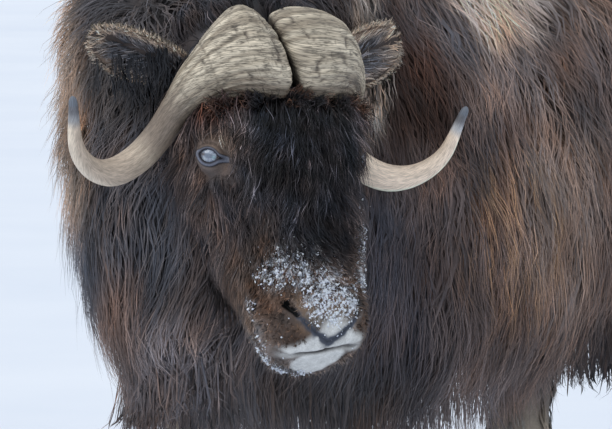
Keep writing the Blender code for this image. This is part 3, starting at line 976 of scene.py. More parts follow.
def lock_paths(coat, count, seed, rng):
    """The locks' middle lines as n x (rows + 1) points, the body's normals along them, and
    each lock's width, length, clump's number, own number, root row and root column.

    A path goes along flow, laid on the surface, while it rises from the skin towards the
    outline by rise * (1 - (1 - t)^2); where the form turns under it falls straight down.
    Paths of a clump draw together as t^1.3, and wave as sin(t)."""
    form, rows, clump = coat.form, coat.rows, coat.clump
    clumps = max(1, count // clump)
    s0, a0 = form.scatter(clumps, coat.weight, rng)
    order = np.argsort(a0)
    n = clumps * clump
    s, a = (np.repeat(v[order], clump) for v in (s0, a0))
    guide = np.repeat(np.arange(clumps) * clump, clump)
    spot = along_surface(rng.normal(size=(n, 3)) * coat.spread * .6, form.read(form.normal, s, a))
    spot[np.arange(n) == guide] = 0
    s, a = form.walk(s, a, spot)
    s_root, a_root = s.copy(), a.copy()
    p0, n0 = form.read(form.outline, s, a), form.read(form.normal, s, a)
    group = rng.random(clumps).repeat(clump)
    single = rng.random(n)
    length = coat.length(p0, n0) * (.72 + .34 * group + .34 * single)
    width = coat.width(p0, n0) * (.75 + .5 * rng.random(n))
    rise = coat.low + (coat.high - coat.low) * (1 - (.55 * rng.random(n) + .45 * group) ** 1.6)
    if coat.lift is not None:
        rise = rise * coat.lift(p0, n0)
    bend = rng.normal(size=clumps).repeat(clump) * .7 + rng.normal(size=n) * .3
    step = (length / rows)[:, None]
    path, up = np.empty((n, rows + 1, 3)), np.empty((n, rows + 1, 3))
    hanging = np.zeros(n, bool)
    fall = unit(DOWN + .1 * rng.normal(size=(n, 3)))
    for k in range(rows + 1):
        normal, base, top = (form.read(v, s, a) for v in (form.normal, form.skin, form.outline))
        height = rise * (1 - (1 - k / rows) ** 2)
        here = base + (top - base) * height[:, None] - normal * ROOT_DEPTH * (k == 0)
        if k:
            hanging |= coat.hangs & (normal[:, 2] < coat.hang_at)
            here = np.where(hanging[:, None], path[:, k - 1] + fall * step, here)
        path[:, k], up[:, k] = here, normal
        flow = coat.flow(top, normal)
        flow = flow + np.cross(flow, normal) * (
            .16 * bend + .22 * drift(top, .22, seed + 1)
            + .16 * drift(top, .07, seed + 2))[:, None]
        s2, a2 = form.walk(s, a, unit(along_surface(flow, normal)) * step)
        s, a = np.where(hanging, s, s2), np.where(hanging, a, a2)
    t = np.linspace(0, 1, rows + 1)[None, :, None]
    side = unit(np.cross(unit(np.gradient(path, axis=1)), up))
    swing = rng.random(clumps).repeat(clump) * TAU + rng.normal(size=n) * .5
    turn = TAU * t[..., 0] * (length / coat.wavelength)[:, None] + swing[:, None]
    ramp = np.minimum(1, t * 2.2)
    path = path + side * (coat.wave * np.sin(turn)[..., None] * ramp)
    path = path + up * (coat.wave * .5 * np.cos(turn)[..., None] * ramp)
    path += (path[guide] - path) * coat.gather * t**1.3
    path += rng.normal(size=(n, 1, 3)) * coat.stray * t**2
    if coat.hem is not None:
        hem = (coat.hem(s_root) - .004 - .03 * rng.random(n) ** 2)[:, None]
        below = np.maximum(hem - path[..., 2], 0)
        path[..., 2] = np.where(below > 0, hem - .12 * below, path[..., 2])
    good = np.flatnonzero(clear_of_horns(path) & clear_of_eyes(path))
    return [v[good] for v in (path, up, width, length, group, single, s_root, a_root)]


def grow(name, count, seed, *of, **settings):
    """Grows `count` locks of a Coat as solid mesh: three-sided prisms of width * taper(t)
    on their paths, closed at the root, ending in a point."""
    coat, rng = Coat(*of, **settings), np.random.default_rng(seed)
    form, rows, soft = coat.form, coat.rows, coat.soft
    path, up, width, length, group, single, s_root, a_root = lock_paths(coat, count, seed, rng)
    n, per, tris = len(path), rows * 3 + 1, lock_tris(rows)

    def rings_and_tip(rings, tips):
        return np.concatenate([rings[:, :rows].reshape(n, rows * 3, 3), tips[:, -1:]], 1)

    along = unit(np.gradient(path, axis=1))
    side = unit(np.cross(along, up))
    lift = unit(np.cross(side, along))
    taper = np.interp(np.linspace(0, 1, rows + 1), (0, .15, .5, .8, 1), (.6, 1, .85, .5, 0))
    w = (width[:, None] * taper[None])[..., None]
    rings = np.stack([path + side * w / 2, path + lift * w * coat.flat, path - side * w / 2], 2)
    facing = np.stack([side * .8 + lift * .6, lift, lift * .6 - side * .8], 2) * (1 - soft)
    facing = unit(facing + up[:, :, None] * soft)
    facing = rings_and_tip(facing, facing[:, :, 1])
    points = rings_and_tip(rings, path)
    tris = outward(points[0] - points[0].mean(0), tris)
    root, tip = coat.colours(path, up)
    tone = 1 + coat.vary * (group - .5) * 1.6 + coat.vary * (single - .5) * 1.2
    # painted glints: a share of the locks made paler by coat.gleam
    tone = tone * np.where(rng.random(n) < coat.gleam[0], coat.gleam[1], 1.0)
    ring = np.concatenate([np.repeat(np.arange(rows), 3), [rows]])
    share = ring / rows
    shade = mix(root[:, ring], tip[:, ring], np.broadcast_to(share**coat.fade, (n, per)))
    hue = 1 + np.array((.2, 0.0, -.2)) * (group - .5)[:, None]
    shade = shade * (tone[:, None] * hue)[:, None]
    across = np.concatenate([np.tile((0.0, .5, 1.0), rows), [.5]])
    strands = np.stack([
        across * width[:, None] * STREAKS_ACROSS + single[:, None] * LOCK_SHIFT[0],
        share * length[:, None] * STREAKS_ALONG + group[:, None] * LOCK_SHIFT[1]], -1)
    stations, columns = form.skin.shape[:2]
    root_uv = np.stack([np.mod(a_root, columns) / columns, s_root / stations], -1)
    patch = np.stack([across - .5, share - .5], -1) * BAKE_PATCH
    bake = np.clip(root_uv[:, None] * .99 + .005 + patch[None], .001, .999)

    pieces = max(1, math.ceil(n / (MOST_TRIS // len(tris))))
    for k in range(pieces):
        some = slice(n * k // pieces, n * (k + 1) // pieces)
        first = (np.arange(some.stop - some.start) * per)[:, None, None]
        maps = [(map_name, uv[some][:, tris].reshape(-1, 3, 2))
                for map_name, uv in (("OFBake", bake), ("strands", strands))]
        piece = build(name if pieces == 1 else f"{name}_{k + 1}", points[some].reshape(-1, 3),
                      (tris[None] + first).reshape(-1, 3), coat.finish,
                      shade[some].reshape(-1, 3), maps, facing[some].reshape(-1, 3))
        finish_piece(piece, coat.slot)


# ---------------------------------------------------------------- skin

def eye_frame(side):
    """An eye's middle, and the ways ahead, towards the tear corner and towards the upper lid."""
    out = unit(head_way(EYE_WAY, side))
    corner = squared(head_way(EYE_CORNER, side), out)
    upper = np.cross(out, corner)
    if upper @ head_way(EYE_UPPER, side) < 0:
        upper = -upper
    return head_point(EYE_AT, side), out, corner, upper


def lid_patch(side, skin_points, skin_normals):
    """Lids and orbit as rings round the eye's opening.

    Opening: (x, y) = (14 cos + 4.8 tear bell, 9.8 sin * (0.6 + 0.4 |sin|)) mm, a quarter
    lower at the tear corner. A ring at reach r from it lies on a dome
    sqrt(dome^2 - 0.8 (x^2 + y^2)) near the eye, and on the head's skin, read by a weighted
    mean of its points, further out; ring heights add a rim, a roll and a crease."""
    middle, out, corner, upper = eye_frame(side)
    off = skin_points - middle
    off = off[(length_of(off) < .09) & (skin_normals @ out > .15)]
    level, across, rise = off @ out, off @ corner, off @ upper
    turn = TAU * np.arange(144) / 144
    tear, outer = (bell(np.angle(np.exp(1j * (turn - at))), width)
                   for at, width in ((0, .3), (math.pi, .35)))
    cos, sin = np.cos(turn), np.sin(turn)
    mouth = np.stack([.014 * cos + .0048 * tear,
                      .0098 * sin * (.6 + .4 * np.abs(sin)) * (1 - .25 * tear)], 1)
    ring = LID_RINGS[:, None]
    longer = .0125 * tear + .003 * outer  # of the lids' bare band, at the corners
    reach = ring + ease(ring, 0, .0068) * longer
    x, y = np.moveaxis(mouth + unit(np.stack([cos / 1.15, sin], 1)) * reach[..., None], -1, 0)
    r2 = x**2 + y**2
    dome = np.sqrt(np.maximum((EYE_RADIUS + .0026)**2 - r2 * .8, 1e-5))
    kernel = np.exp(-((x.ravel()[:, None] - across[None]) ** 2
                      + (y.ravel()[:, None] - rise[None]) ** 2) / .006**2)
    skin_level = ((kernel @ level) / np.maximum(kernel.sum(1), 1e-9)).reshape(x.shape)
    far = ease(np.sqrt(r2), .017, .036)
    height = dome * (1 - far) + skin_level * far
    ring = ring + 0 * x
    height += (-.0044 * (ring < -.001) - .003 * ((ring < -.0005) & (ring > -.001))
               - .0012 * (np.abs(ring) < 1e-6))
    height += .0012 * bell(ring - .004, .0026)
    above, below = ease(sin, .1, .7)[None], ease(-sin, .1, .7)[None]
    height -= .0026 * bell(ring - .0092, .0018) * above
    height += .003 * bell(ring - .0145, .0045) * above
    height -= .0012 * bell(ring - .008, .002) * below
    height -= .003 * ease(ring, .03, .039)
    grid = middle + x[..., None] * corner + y[..., None] * upper + height[..., None] * out
    root, tip = face_markings(grid, None)
    band = .0068 - .0026 * above  # the bare rim's width
    bare = ease(band - ring, 0, .0014)
    return grid, over(root * .4 + tip * .6, ((84, 87, 101), bare * .95),
                      ((122, 126, 140), .75 * bell(ring - .56 * band, .2 * band) * bare),
                      ((30, 26, 32), bell(ring - .0004, .0012)),
                      # painted shadow: a dark line along the outer edge of the bare lid band
                      ((34, 30, 34), .85 * bell(ring - band + .0004, .001)),
                      # painted shade: a darker line in the crease above the upper lid
                      ((60, 48, 42), .6 * bell(ring - .0092, .0016) * above))


def leg_colours(p, n):
    """Pale lower legs, darker above the knee."""
    high = ease(p[..., 2] + .02 * drift(p, .1, 31), .32, .48)
    return painted(display(112, 100, 88), display(176, 164, 148),
                   (high, (40, 34, 32), (78, 68, 64)))


def make_skin():
    """One skin for trunk, neck, head, ears, legs and tail, with lids round the eyes."""
    joined = Joined()

    def shell(form, colours, root_share):
        root, tip = colours(form.skin, form.normal)
        joined.shell(form.skin, root * root_share + tip * (1 - root_share))
        return form

    torso = shell(torso_form(), markings, .75)
    skin, outline = head_form()
    smooth = Form(head_point(skin), head_point(outline))
    skin = skin + (smooth.normal @ HEAD_TURN) * (1, -1, 1) * face_relief(skin)[..., None]
    head = Form(head_point(skin), head_point(outline))
    head.normal = smooth.normal
    root, tip = face_markings(head.skin, head.normal)
    joined.shell(head.skin, bare_face(smooth.skin, root * .5 + tip * .5))
    for side, _ in SIDES:
        grid, colour = lid_patch(side, smooth.skin.reshape(-1, 3), smooth.normal.reshape(-1, 3))
        tris, points = grid_tris(*grid.shape[:2]), grid.reshape(-1, 3)
        p, q, r = (points[tris[:, k]] for k in range(3))
        if (np.cross(q - p, r - p) @ eye_frame(side)[1]).sum() < 0:
            tris = tris[:, ::-1]
        joined.add(points, colour.reshape(-1, 3), tris)
    ears = {}
    for side, name in SIDES:
        form = ears[name] = ear_form(side)
        inside = ease(form.normal @ form.opens, 0, .5)
        off = form.skin - form.outline.mean((0, 1))
        edge = ease(np.abs(off @ form.broad), .02, .034) * ease(.03 - off @ DOWN, 0, .02)
        joined.shell(form.skin, over(display(66, 52, 45), ((72, 63, 60), inside),
                                     ((132, 112, 97), edge)))
    legs = {foot: shell(leg_form(foot), leg_colours, .4) for foot in FEET}
    tail = shell(tail_form(), markings, 1)
    points, shades, tris = joined.arrays()
    finish_piece(build("skin", points, tris, skin_material(), shades), "face", "trunk", "neck",
                 "head", "tail", "ear_left", "ear_right", *("leg_" + foot for foot in FEET))
    return torso, head, ears, legs, tail


# ---------------------------------------------------------------- horns, eyes, hooves

def make_horn(side, name):
    """Ovals carried along the horn's curve, with fibre relief.

    Relief is stretched noise of (distance round, distance along): coarse fibres and cracks
    of 1.5 mm over the boss, dying out along the horn; the end by the groove is rounded."""
    t = np.concatenate([np.linspace(0, 4, 140, endpoint=False), np.linspace(4, 11, 140)])
    row = through(HORN, t)
    path = head_point(row[:, :3], side)
    way = unit(np.gradient(path, axis=0))
    dist = np.concatenate([[0], np.cumsum(np.linalg.norm(np.diff(path, axis=0), axis=1))])
    wide_way, frames = head_way((0, 1, 0), side), []
    for direction in way:
        wide_way = wide_way - direction * (wide_way @ direction)
        wide_way = wide_way / np.linalg.norm(wide_way)
        frames.append(wide_way)
    wide = np.array(frames)
    thick = np.cross(way, wide)
    if thick[0] @ head_way((0, 0, 1), side) < 0:
        thick = -thick
    columns = 136
    a = TAU * np.arange(columns)[None] / columns
    cos, sin = np.cos(a), np.sin(a)
    half, deep = row[:, 3:4], row[:, 4:5]
    around = a * (half + deep) / 2
    along = dist[:, None] + 0 * around
    boss = 1 - ease(t[:, None], 2.6, 5.2)
    lane = a / TAU

    def fibres(number, lengthwise, seed, aslant=0):
        """Noise of that many fibres round the horn, along it at that rate."""
        return grain(lane * number + aslant, lengthwise, seed, number)

    coarse = fibres(60, along * 14, 41 + side)
    middle = fibres(120, along * 26, 43 + side)
    ridges = 1 - np.abs(fibres(44, along * 9 + 3, 47 + side))
    cracks = np.clip(1 - 9 * np.abs(fibres(26, along * 22, 49 + side, .6 * coarse)), 0, 1)
    across_cracks = np.clip(1 - 10 * np.abs(fibres(14, along * 90 + .5 * middle, 51 + side)), 0, 1)
    relief = boss * (.001 * coarse + .0012 * middle + .0005 * ridges
                     - .0013 * cracks - .0006 * across_cracks)
    relief += (1 - boss) * (.00012 * middle + .00012 * coarse)
    seam = bell(along - np.interp(3.35, t, dist) - .004 * np.sin(a * 2 + 1), .0016)
    relief -= .0016 * seam * boss
    scale = np.sqrt(1 - .5 * np.clip(1 - dist[:, None] / .006, 0, 1)**2)
    spots = np.stack([lane * .3 + 0 * along, along, 0 * along], -1)
    bulk = 1 + .05 * drift(spots, .12, 55) * boss
    rings = (path[:, None] + wide[:, None] * (cos * scale * bulk * (half + relief))[..., None]
             + thick[:, None] * (sin * scale * bulk * (deep + relief))[..., None])
    q = in_head(rings)  # the groove between the horns runs aslant, to the right at the back
    aslant = .03 * ease(-q[..., 1], -.01, .16) * (1 - ease(np.abs(q[..., 0]), .02, .11))
    rings = head_point(q - aslant[..., None] * (1, 0, 0))
    cap = [path[-1] + way[-1] * HORN_TIP * k + (rings[-1] - path[-1]) * math.sqrt(1 - k * k)
           for k in (.35, .65, .88, .985)]

    def to_tip(rows):
        """Rows with the last one repeated for the rings of the tip."""
        return np.concatenate([rows, np.repeat(rows[-1:], len(cap), 0)])

    share = np.clip(dist / dist[-1], 0, 1)[:, None] + 0 * a
    under = ease(-(sin + 0 * share), .1, .8)
    colour = over(
        display(160, 147, 128), ((216, 203, 181), ease(fibres(56, along * 10, 61), -.6, .7)),
        ((132, 118, 105), ease(share, .24, .42) * (1 - ease(share, .5, .62))),
        ((200, 182, 164), ease(share, .46, .66)),
        # painted highlight: paler cream along the underside of the horn's outer half
        ((232, 216, 196), ease(share, .52, .72) * under * .8),
        ((154, 154, 156), ease(share, .922, .955)))
    # painted light: the left horn's outer half is 1.62 times lighter than the right's
    colour = colour * (1 + .62 * (side > 0) * ease(share, .4, .6))[..., None]
    dark = boss * np.clip(.9 * cracks + .5 * across_cracks + .45 * seam
                          + .3 * np.clip(-coarse, 0, 1) + .35 * np.clip(-middle, 0, 1), 0, 1)
    colour = to_tip(over(
        colour, ((110, 110, 115), ease(share, .95, .98)),
        ((112, 118, 128), ease(share, .99, 1.0)), ((66, 54, 46), dark * .78),
        ((84, 68, 56), .62 * (ease(cos + .1 * coarse, .62, .98) * boss)),
        ((38, 31, 28), .85 * ease(.01 - along, 0, .008))))
    u, v = to_tip(around * FIBRES_ROUND), to_tip(along * FIBRES_ALONG)
    points, shades, tris = closed(np.concatenate([rings, np.array(cap)]), colour)
    points[-1] = path[-1] + way[-1] * HORN_TIP
    tris = outward(points - points[:-2].mean(0), tris)
    map_u = np.concatenate([u.ravel(), [u[0].mean(), u[-1].mean()]])
    map_v = np.concatenate([v.ravel(), [v[0, 0], v[-1, 0]]])
    corner = np.stack([map_u[tris], map_v[tris]], -1)
    wraps = (corner[..., 0].max(1) - corner[..., 0].min(1)) > .5 * u.max(1).min()
    once_round = np.interp(corner[..., 1].mean(1), v[:, 0], u[:, 1] * columns)
    behind = wraps[:, None] & (corner[..., 0] < .5 * once_round[:, None])
    corner[..., 0] += np.where(behind, once_round[:, None], 0)
    piece = build(name, points, tris, HORN_FINISH, shades, (("fibres", corner),))
    finish_piece(piece, "horn", name)


def make_eye(side, name):
    """A ball of radius 23.4 mm whose front bulges by 1.6 mm * (1 - (angle / 0.62)^2).

    Rings run out from the way it looks; the shade runs from the long pupil over a
    pale grey-blue iris, partly a painted reflection of the sky, to a brown edge and a dark
    white, with a painted highlight as a pale spot low on its outer side."""
    middle, out, corner, upper = eye_frame(side)
    angle = np.concatenate([np.linspace(.004, 1.0, 44), np.linspace(1.05, math.pi - .02, 16)])
    angle, turn = grids(angle, 80)
    radius = EYE_RADIUS - .0006 + .0016 * np.clip(1 - (angle / .62) ** 2, 0, 1)
    x, y = np.sin(angle) * np.cos(turn), np.sin(angle) * np.sin(turn)
    grid = (middle + (radius * x)[..., None] * corner + (radius * y)[..., None] * upper
            + (radius * np.cos(angle))[..., None] * out)
    streaks = grain(turn / TAU * 48, angle * 7, 71, 48)
    pupil = np.hypot(x / .3, y / .15)
    colour = over(
        # the pale grey-blue iris is partly its own colour and partly a painted reflection of the
        # sky
        display(118, 128, 146), ((166, 175, 190), ease(streaks, -.8, .8)),
        ((84, 96, 116), .8 * ease(1.25 - pupil, 0, .5)),
        ((92, 70, 52), ease(angle, .44, .56) * .8),
        ((70, 52, 42), .9 * bell(np.hypot(x + .36, y - .02), .13)),
        # painted highlight: a pale spot low on the outer side of the cornea
        ((196, 206, 214), .7 * bell(np.hypot(x + .22, y + .24), .12)),
        ((128, 178, 182), .6 * bell(np.hypot(x - .34, y + .02), .1)),
        ((40, 32, 34), ease(angle, .62, .74)), ((120, 92, 92), .5 * ease(angle, .8, 1.1)))
    points, shades, tris = closed(grid, colour)
    piece = build(name, points, outward(points - middle, tris), EYE_FINISH, shades)
    finish_piece(piece, "eye", name)


def make_frost(head, count=6500):
    """Crumbs of frozen snow: eight-sided beads, each with its own three radii."""
    rng = np.random.default_rng(91)

    def weight(p, n):
        patchy = ease(drift(p, .016, 92) + 1.0 * drift(p, .006, 93), 0.0, 1.1)
        return (frost_share(in_head(p)) / 2.5) ** 1.3 * (.08 + patchy)

    s, a = head.scatter(count, weight, rng)
    middle, normal, base = (head.read(v, s, a) for v in (head.outline, head.normal, head.skin))
    size = .0004 + .0019 * rng.random(count) ** 5
    aside = ease(np.abs(in_head(middle)[..., :1]), .065, .08)
    rise = .9 + 1.1 * rng.random((count, 1)) ** 2 * aside
    middle = base + (middle - base) * rise + normal * size[:, None] * .5
    ball = np.vstack([(s * np.eye(3)[k]) for k in range(3) for s in (1, -1)])
    tris = np.array([(0, 2, 4), (2, 1, 4), (1, 3, 4), (3, 0, 4), (2, 0, 5), (1, 2, 5), (3, 1, 5),
                     (0, 3, 5)])
    axes = unit(rng.normal(size=(count, 3)))
    second = unit(np.cross(axes, rng.normal(size=(count, 3))))
    basis = np.stack([axes, second, np.cross(axes, second)], 1)
    radii = size[:, None] * (.45 + 1.1 * rng.random((count, 3)))
    lumpy = np.clip(1 + .3 * rng.normal(size=(count, len(ball), 1)), .4, 1.7)
    beads = np.einsum("cpk,ckx->cpx", ball[None] * radii[:, None] * lumpy, basis)
    points = (beads + middle[:, None]).reshape(-1, 3)
    faces = (tris[None] + (np.arange(count) * len(ball))[:, None, None]).reshape(-1, 3)
    finish_piece(build("frost_crumbs", points, faces, frost_material()), "face")


# ---------------------------------------------------------------- the coat's regions

def camera_near(p, n):
    """0..1: how much a spot faces the side that is seen closest, and lies near it."""
    off = p - TARGET
    across = length_of(off - (off @ CAMERA_WAY)[..., None] * CAMERA_WAY)
    return ease(n @ CAMERA_WAY, -.35, .25) * ease(.68 - across, 0, .22)


def view_patch(p, place, reach, limit, soft):
    """0..1 within an ellipse of the view, with a soft edge."""
    column, row = seen_at(p)
    inside = np.hypot((column - place[0]) / reach[0], (row - place[1]) / reach[1])
    return ease(limit - inside, 0, soft)


def torso_flow(p, n):
    """Backwards along the back, down the sides, and forwards a little near the hem."""
    lean = np.interp(p[..., 2], (.45, .72, .95, 1.2), (-.5, -.12, .18, .55))
    back = lean * ease(p[..., 1], -.75, -.25) + 1.3 * ease(n[..., 2], .45, .95)
    return DOWN * .9 + back[..., None] * (0, 1, 0)


def torso_hem(s):
    """The outline's lowest height at a grid row of the torso."""
    return through(TORSO, s * (len(TORSO) - 1) / (TORSO_ROWS - 1))[:, 5]


def torso_length(p, n):
    y, z = p[..., 1], p[..., 2]
    top = ease(n[..., 2], .55, .92)
    flank = .16 + .09 * ease(.9 - z, 0, .3) + .02 * drift(p, .2, 21)
    back = np.interp(y, (-.5, -.3, 0.0, .2, 1.1), (.1, .11, .1, .065, .065))
    rim = ease(z, .75, 1.0) * ease(-y, .45, .62)
    return flank * (1 - top) * (1 - .45 * rim) + back * top


def coat_torso(torso):
    """Fine locks and wisps on the side that is seen closest, broader ones elsewhere."""
    def near_weight(p, n):
        under = ease(n[..., 2], -.95, -.5)
        behind_head = view_patch(p, (275, 190), (85, 150), 1.1, .3)
        return camera_near(p, n) * (.35 + under) * (1 - .35 * behind_head)

    def far_weight(p, n):
        return (1 - .95 * camera_near(p, n)) * (.25 + ease(n[..., 2], -.98, -.5))

    def wisp_weight(p, n):
        bright = view_patch(p, (520, 240), (75, 130), 1.2, .5)
        patchy = .9 * ease(drift(p, .05, 24), -.4, .9)
        return near_weight(p, n) * (.45 + patchy + .6 * bright)

    def wisp_colours(p, n):
        root, tip = markings(p, n)
        bright = view_patch(p, (520, 240), (60, 110), 1.2, .6)
        bright = bright * ease(n @ CAMERA_WAY, -.2, .2) * ease(drift(p, .03, 25), .1, .8)
        return between(root, tip, .4), over(tip * 1.22, ((206, 160, 122), .85 * bright))

    both = dict(length=torso_length, flow=torso_flow, hem=torso_hem)
    broad = both | dict(rows=4, flat=.22, fade=.45)
    grow("coat_shoulder", 12300, 101, torso, markings, **broad | dict(
        weight=near_weight, width=.0036, spread=.014, gather=.28, wave=.005, wavelength=.11,
        stray=.006, low=.45, high=.93, soft=.72))
    grow("wisps_shoulder", 10500, 103, torso, wisp_colours, **both | dict(
        weight=wisp_weight, width=.0013, clump=9, spread=.013, gather=.55, wave=.0062,
        wavelength=.068, stray=.011, low=.72, high=1.1, vary=.42, gleam=(.12, 1.5)))
    grow("coat_body", 8700, 102, torso, markings, **broad | dict(
        weight=far_weight, width=.0095, clump=5, spread=.024, gather=.38, wave=.007,
        wavelength=.12, stray=.009, low=.5, flat=.18, soft=.7))


def eye_gap(p):
    """Distance from the nearer eye's middle across the way it looks, drawn in by 2.2
    towards the tear corner, where the bare lids reach further."""
    ahead, across, rest = eye_parts(folded(in_head(p)) - EYE_AT, EYE_OUT, EYE_TEAR)
    reach = np.hypot(np.where(across > 0, across / 2.2, across), 1.38 * rest)
    return np.where(ahead > -.03, reach, .2)


def near_eye(p, n):
    """Hair lies lower round the eyes."""
    return .16 + .84 * ease(eye_gap(p), .024, .062)


def head_flow(p, n):
    """From the head's own places: forwards over the forehead, out round the eyes, and
    down and back over cheeks and jaw."""
    q = in_head(p)
    x, u, w = parts(folded(q))
    outs = head_way((1, 0, 0)) * np.sign(q[..., :1])
    ahead, behind = head_way((0, 1, 0)), head_way((0, -1, 0))
    flow = ahead + outs * (.35 * ease(x, .02, .1))[..., None]
    flow = mix(flow, DOWN * .8 + behind * .42 + outs * .22, ease(-w, .05, .13))
    flow = mix(flow, behind * .35 + DOWN * .9 + outs * .25, ease(u, .2, .28))
    return mix(flow, behind + outs * .3, ease(-u, .12, .15))


def head_length(p, n):
    x, u, w = face_parts(p)
    top = np.interp(u, (-.2, -.02, .06, .12, .17, .23, .3, .38),
                    (.05, .062, .055, .04, .028, .02, .015, .009))
    side = np.interp(u, (-.2, 0.0, .1, .2, .27, .31, .38),
                     (.12, .1, .09, .062, .028, .016, .01))
    jaw = np.interp(u, (-.2, .1, .2, .26, .31, .38), (.16, .15, .11, .06, .014, .006))
    length = between(between(top, side, ease(-w, .05, .12)), jaw, ease(-w, .15, .21))
    return length * (.16 + .84 * ease(eye_gap(p), .02, .055))


def head_cover(p, n):
    """Where the head's hair grows: not under the boss, on the nose edge, lips or lids."""
    q = in_head(p)
    m = folded(q)
    x, u, w = parts(m)
    under_boss = (x < .115) & (u < -.02) & (u > -.135) & (w > -.06)
    bare = ((lip_share(lip_frame(q)) > .35) | (distance_to_line(m, NOSE_EDGE)[0] < .0052)
            | (distance_to_line(m, NOSTRIL)[0] < .0062) | (eye_gap(p) < .0178))
    return np.where(under_boss | bare, 0.0, 1.0)


def coat_head(head):
    """Fine hair on muzzle and round the eyes, longer hair behind it, the forelock, and a
    curly fringe along the boss's edge."""
    def cover(p, n):
        seen = .35 + .65 * ease(n @ CAMERA_WAY, -.3, .2)
        return head_cover(p, n) * seen * ease(in_head(p)[..., 1], -.215, -.18)

    def fine_weight(p, n):
        x, u, w = face_parts(p)
        lids = .8 * ease(.075 - eye_gap(p), 0, .03)
        return cover(p, n) * (ease(u, .12, .22) + lids) * (1 - .8 * ease(-w, .17, .21))

    def long_weight(p, n):
        x, u, w = face_parts(p)
        short = ease(u, .17, .27) * (1 - .8 * ease(-w, .15, .2))
        jaw = 1 + .8 * ease(-w, .12, .2)
        return cover(p, n) * (1.02 - short) * jaw * (.12 + .88 * ease(eye_gap(p), .03, .06))

    def long_width(p, n):
        return .0013 + .001 * ease(head_length(p, n), .02, .08)

    def forelock_weight(p, n):
        x, u, w = face_parts(p)
        down = 1.6 * ease(.035 - u, 0, .05) + .5 * ease(.16 - u, 0, .08)
        return (head_cover(p, n) * ease(.13 - x, 0, .06) * down * ease(u, -.022, -.018)
                * ease(w, -.085, -.03) * ease(eye_gap(p), .046, .074))

    def forelock_length(p, n):
        edge = ease(np.abs(in_head(p)[..., 0]), .07, .13)
        return (.076 + .02 * drift(p, .04, 22)) * (1 - .4 * edge)

    def forelock_colours(p, n):
        root, tip = face_markings(p, n)
        # painted sheen: clump makes the tips lighter and darker in patches a few centimetres
        # across, as light catching clumps of black hair
        clump = np.maximum(.95 + .8 * drift(p, .024, 33), .35)[..., None]
        # painted shade: roots at 0.4 of their colour darken the gaps between locks
        return root * .4, tip * .85 * clump

    def fringe_weight(p, n):
        x, u, w = face_parts(p)
        patchy = .15 + ease(drift(p, .035, 27), -.3, .6)
        return (x < .125) * (u > -.02) * (u < .01) * (w > -.075) * patchy

    def fringe_flow(p, n):
        sway, lean = drift(p, .018, 23)[..., None], drift(p, .014, 26)[..., None]
        return (head_way((0, -.8, 0)) + head_way((1, 0, 0)) * sway * 1.6
                + head_way((0, 1, 0)) * (.5 + .7 * lean))

    def fringe_colours(p, n):
        root, tip = face_markings(p, n)
        brown = ease(drift(p, .04, 29), -.1, .6)
        return root * .5, over(tip * .8, ((96, 68, 52), .8 * brown))

    face = dict(slot="face", finish=FACE_HAIR, flow=head_flow, lift=near_eye)
    silky = dict(slot="face", finish=SILKY_HAIR, low=.8, soft=.3)
    grow("coat_fringe", 900, 114, head, fringe_colours, **silky | dict(
        weight=fringe_weight, width=.0015, flow=fringe_flow,
        length=lambda p, n: .022 + .006 * drift(p, .03, 28), spread=.006, gather=.4,
        wave=.005, wavelength=.022, stray=.006, high=1.9, vary=.8, gleam=(.22, 2.6)))
    grow("coat_face", 11500, 111, head, face_markings, **face | dict(
        weight=fine_weight, length=head_length, width=.0011, rows=3, clump=4, spread=.004,
        gather=.35, wave=.0006, wavelength=.012, hangs=False, stray=.0032, low=.9, high=2.3,
        gleam=(.14, 1.9), vary=.6))
    grow("coat_head", 8500, 112, head, face_markings, **face | dict(
        weight=long_weight, length=head_length, width=long_width, spread=.008, gather=.42,
        wave=.003, wavelength=.045, stray=.006, low=.4, high=1.15, gleam=(.13, 2.3),
        vary=.6))
    # painted glints: 24% of the forelock's locks 4.2 times paler, for light on black hair
    grow("coat_forelock", 3400, 113, head, forelock_colours, **face | silky | dict(
        weight=forelock_weight, length=forelock_length, width=.0014, rows=6, clump=8,
        spread=.012, gather=.62, wave=.003, wavelength=.075, stray=.0065, high=2.0,
        vary=.95, gleam=(.24, 4.2)))


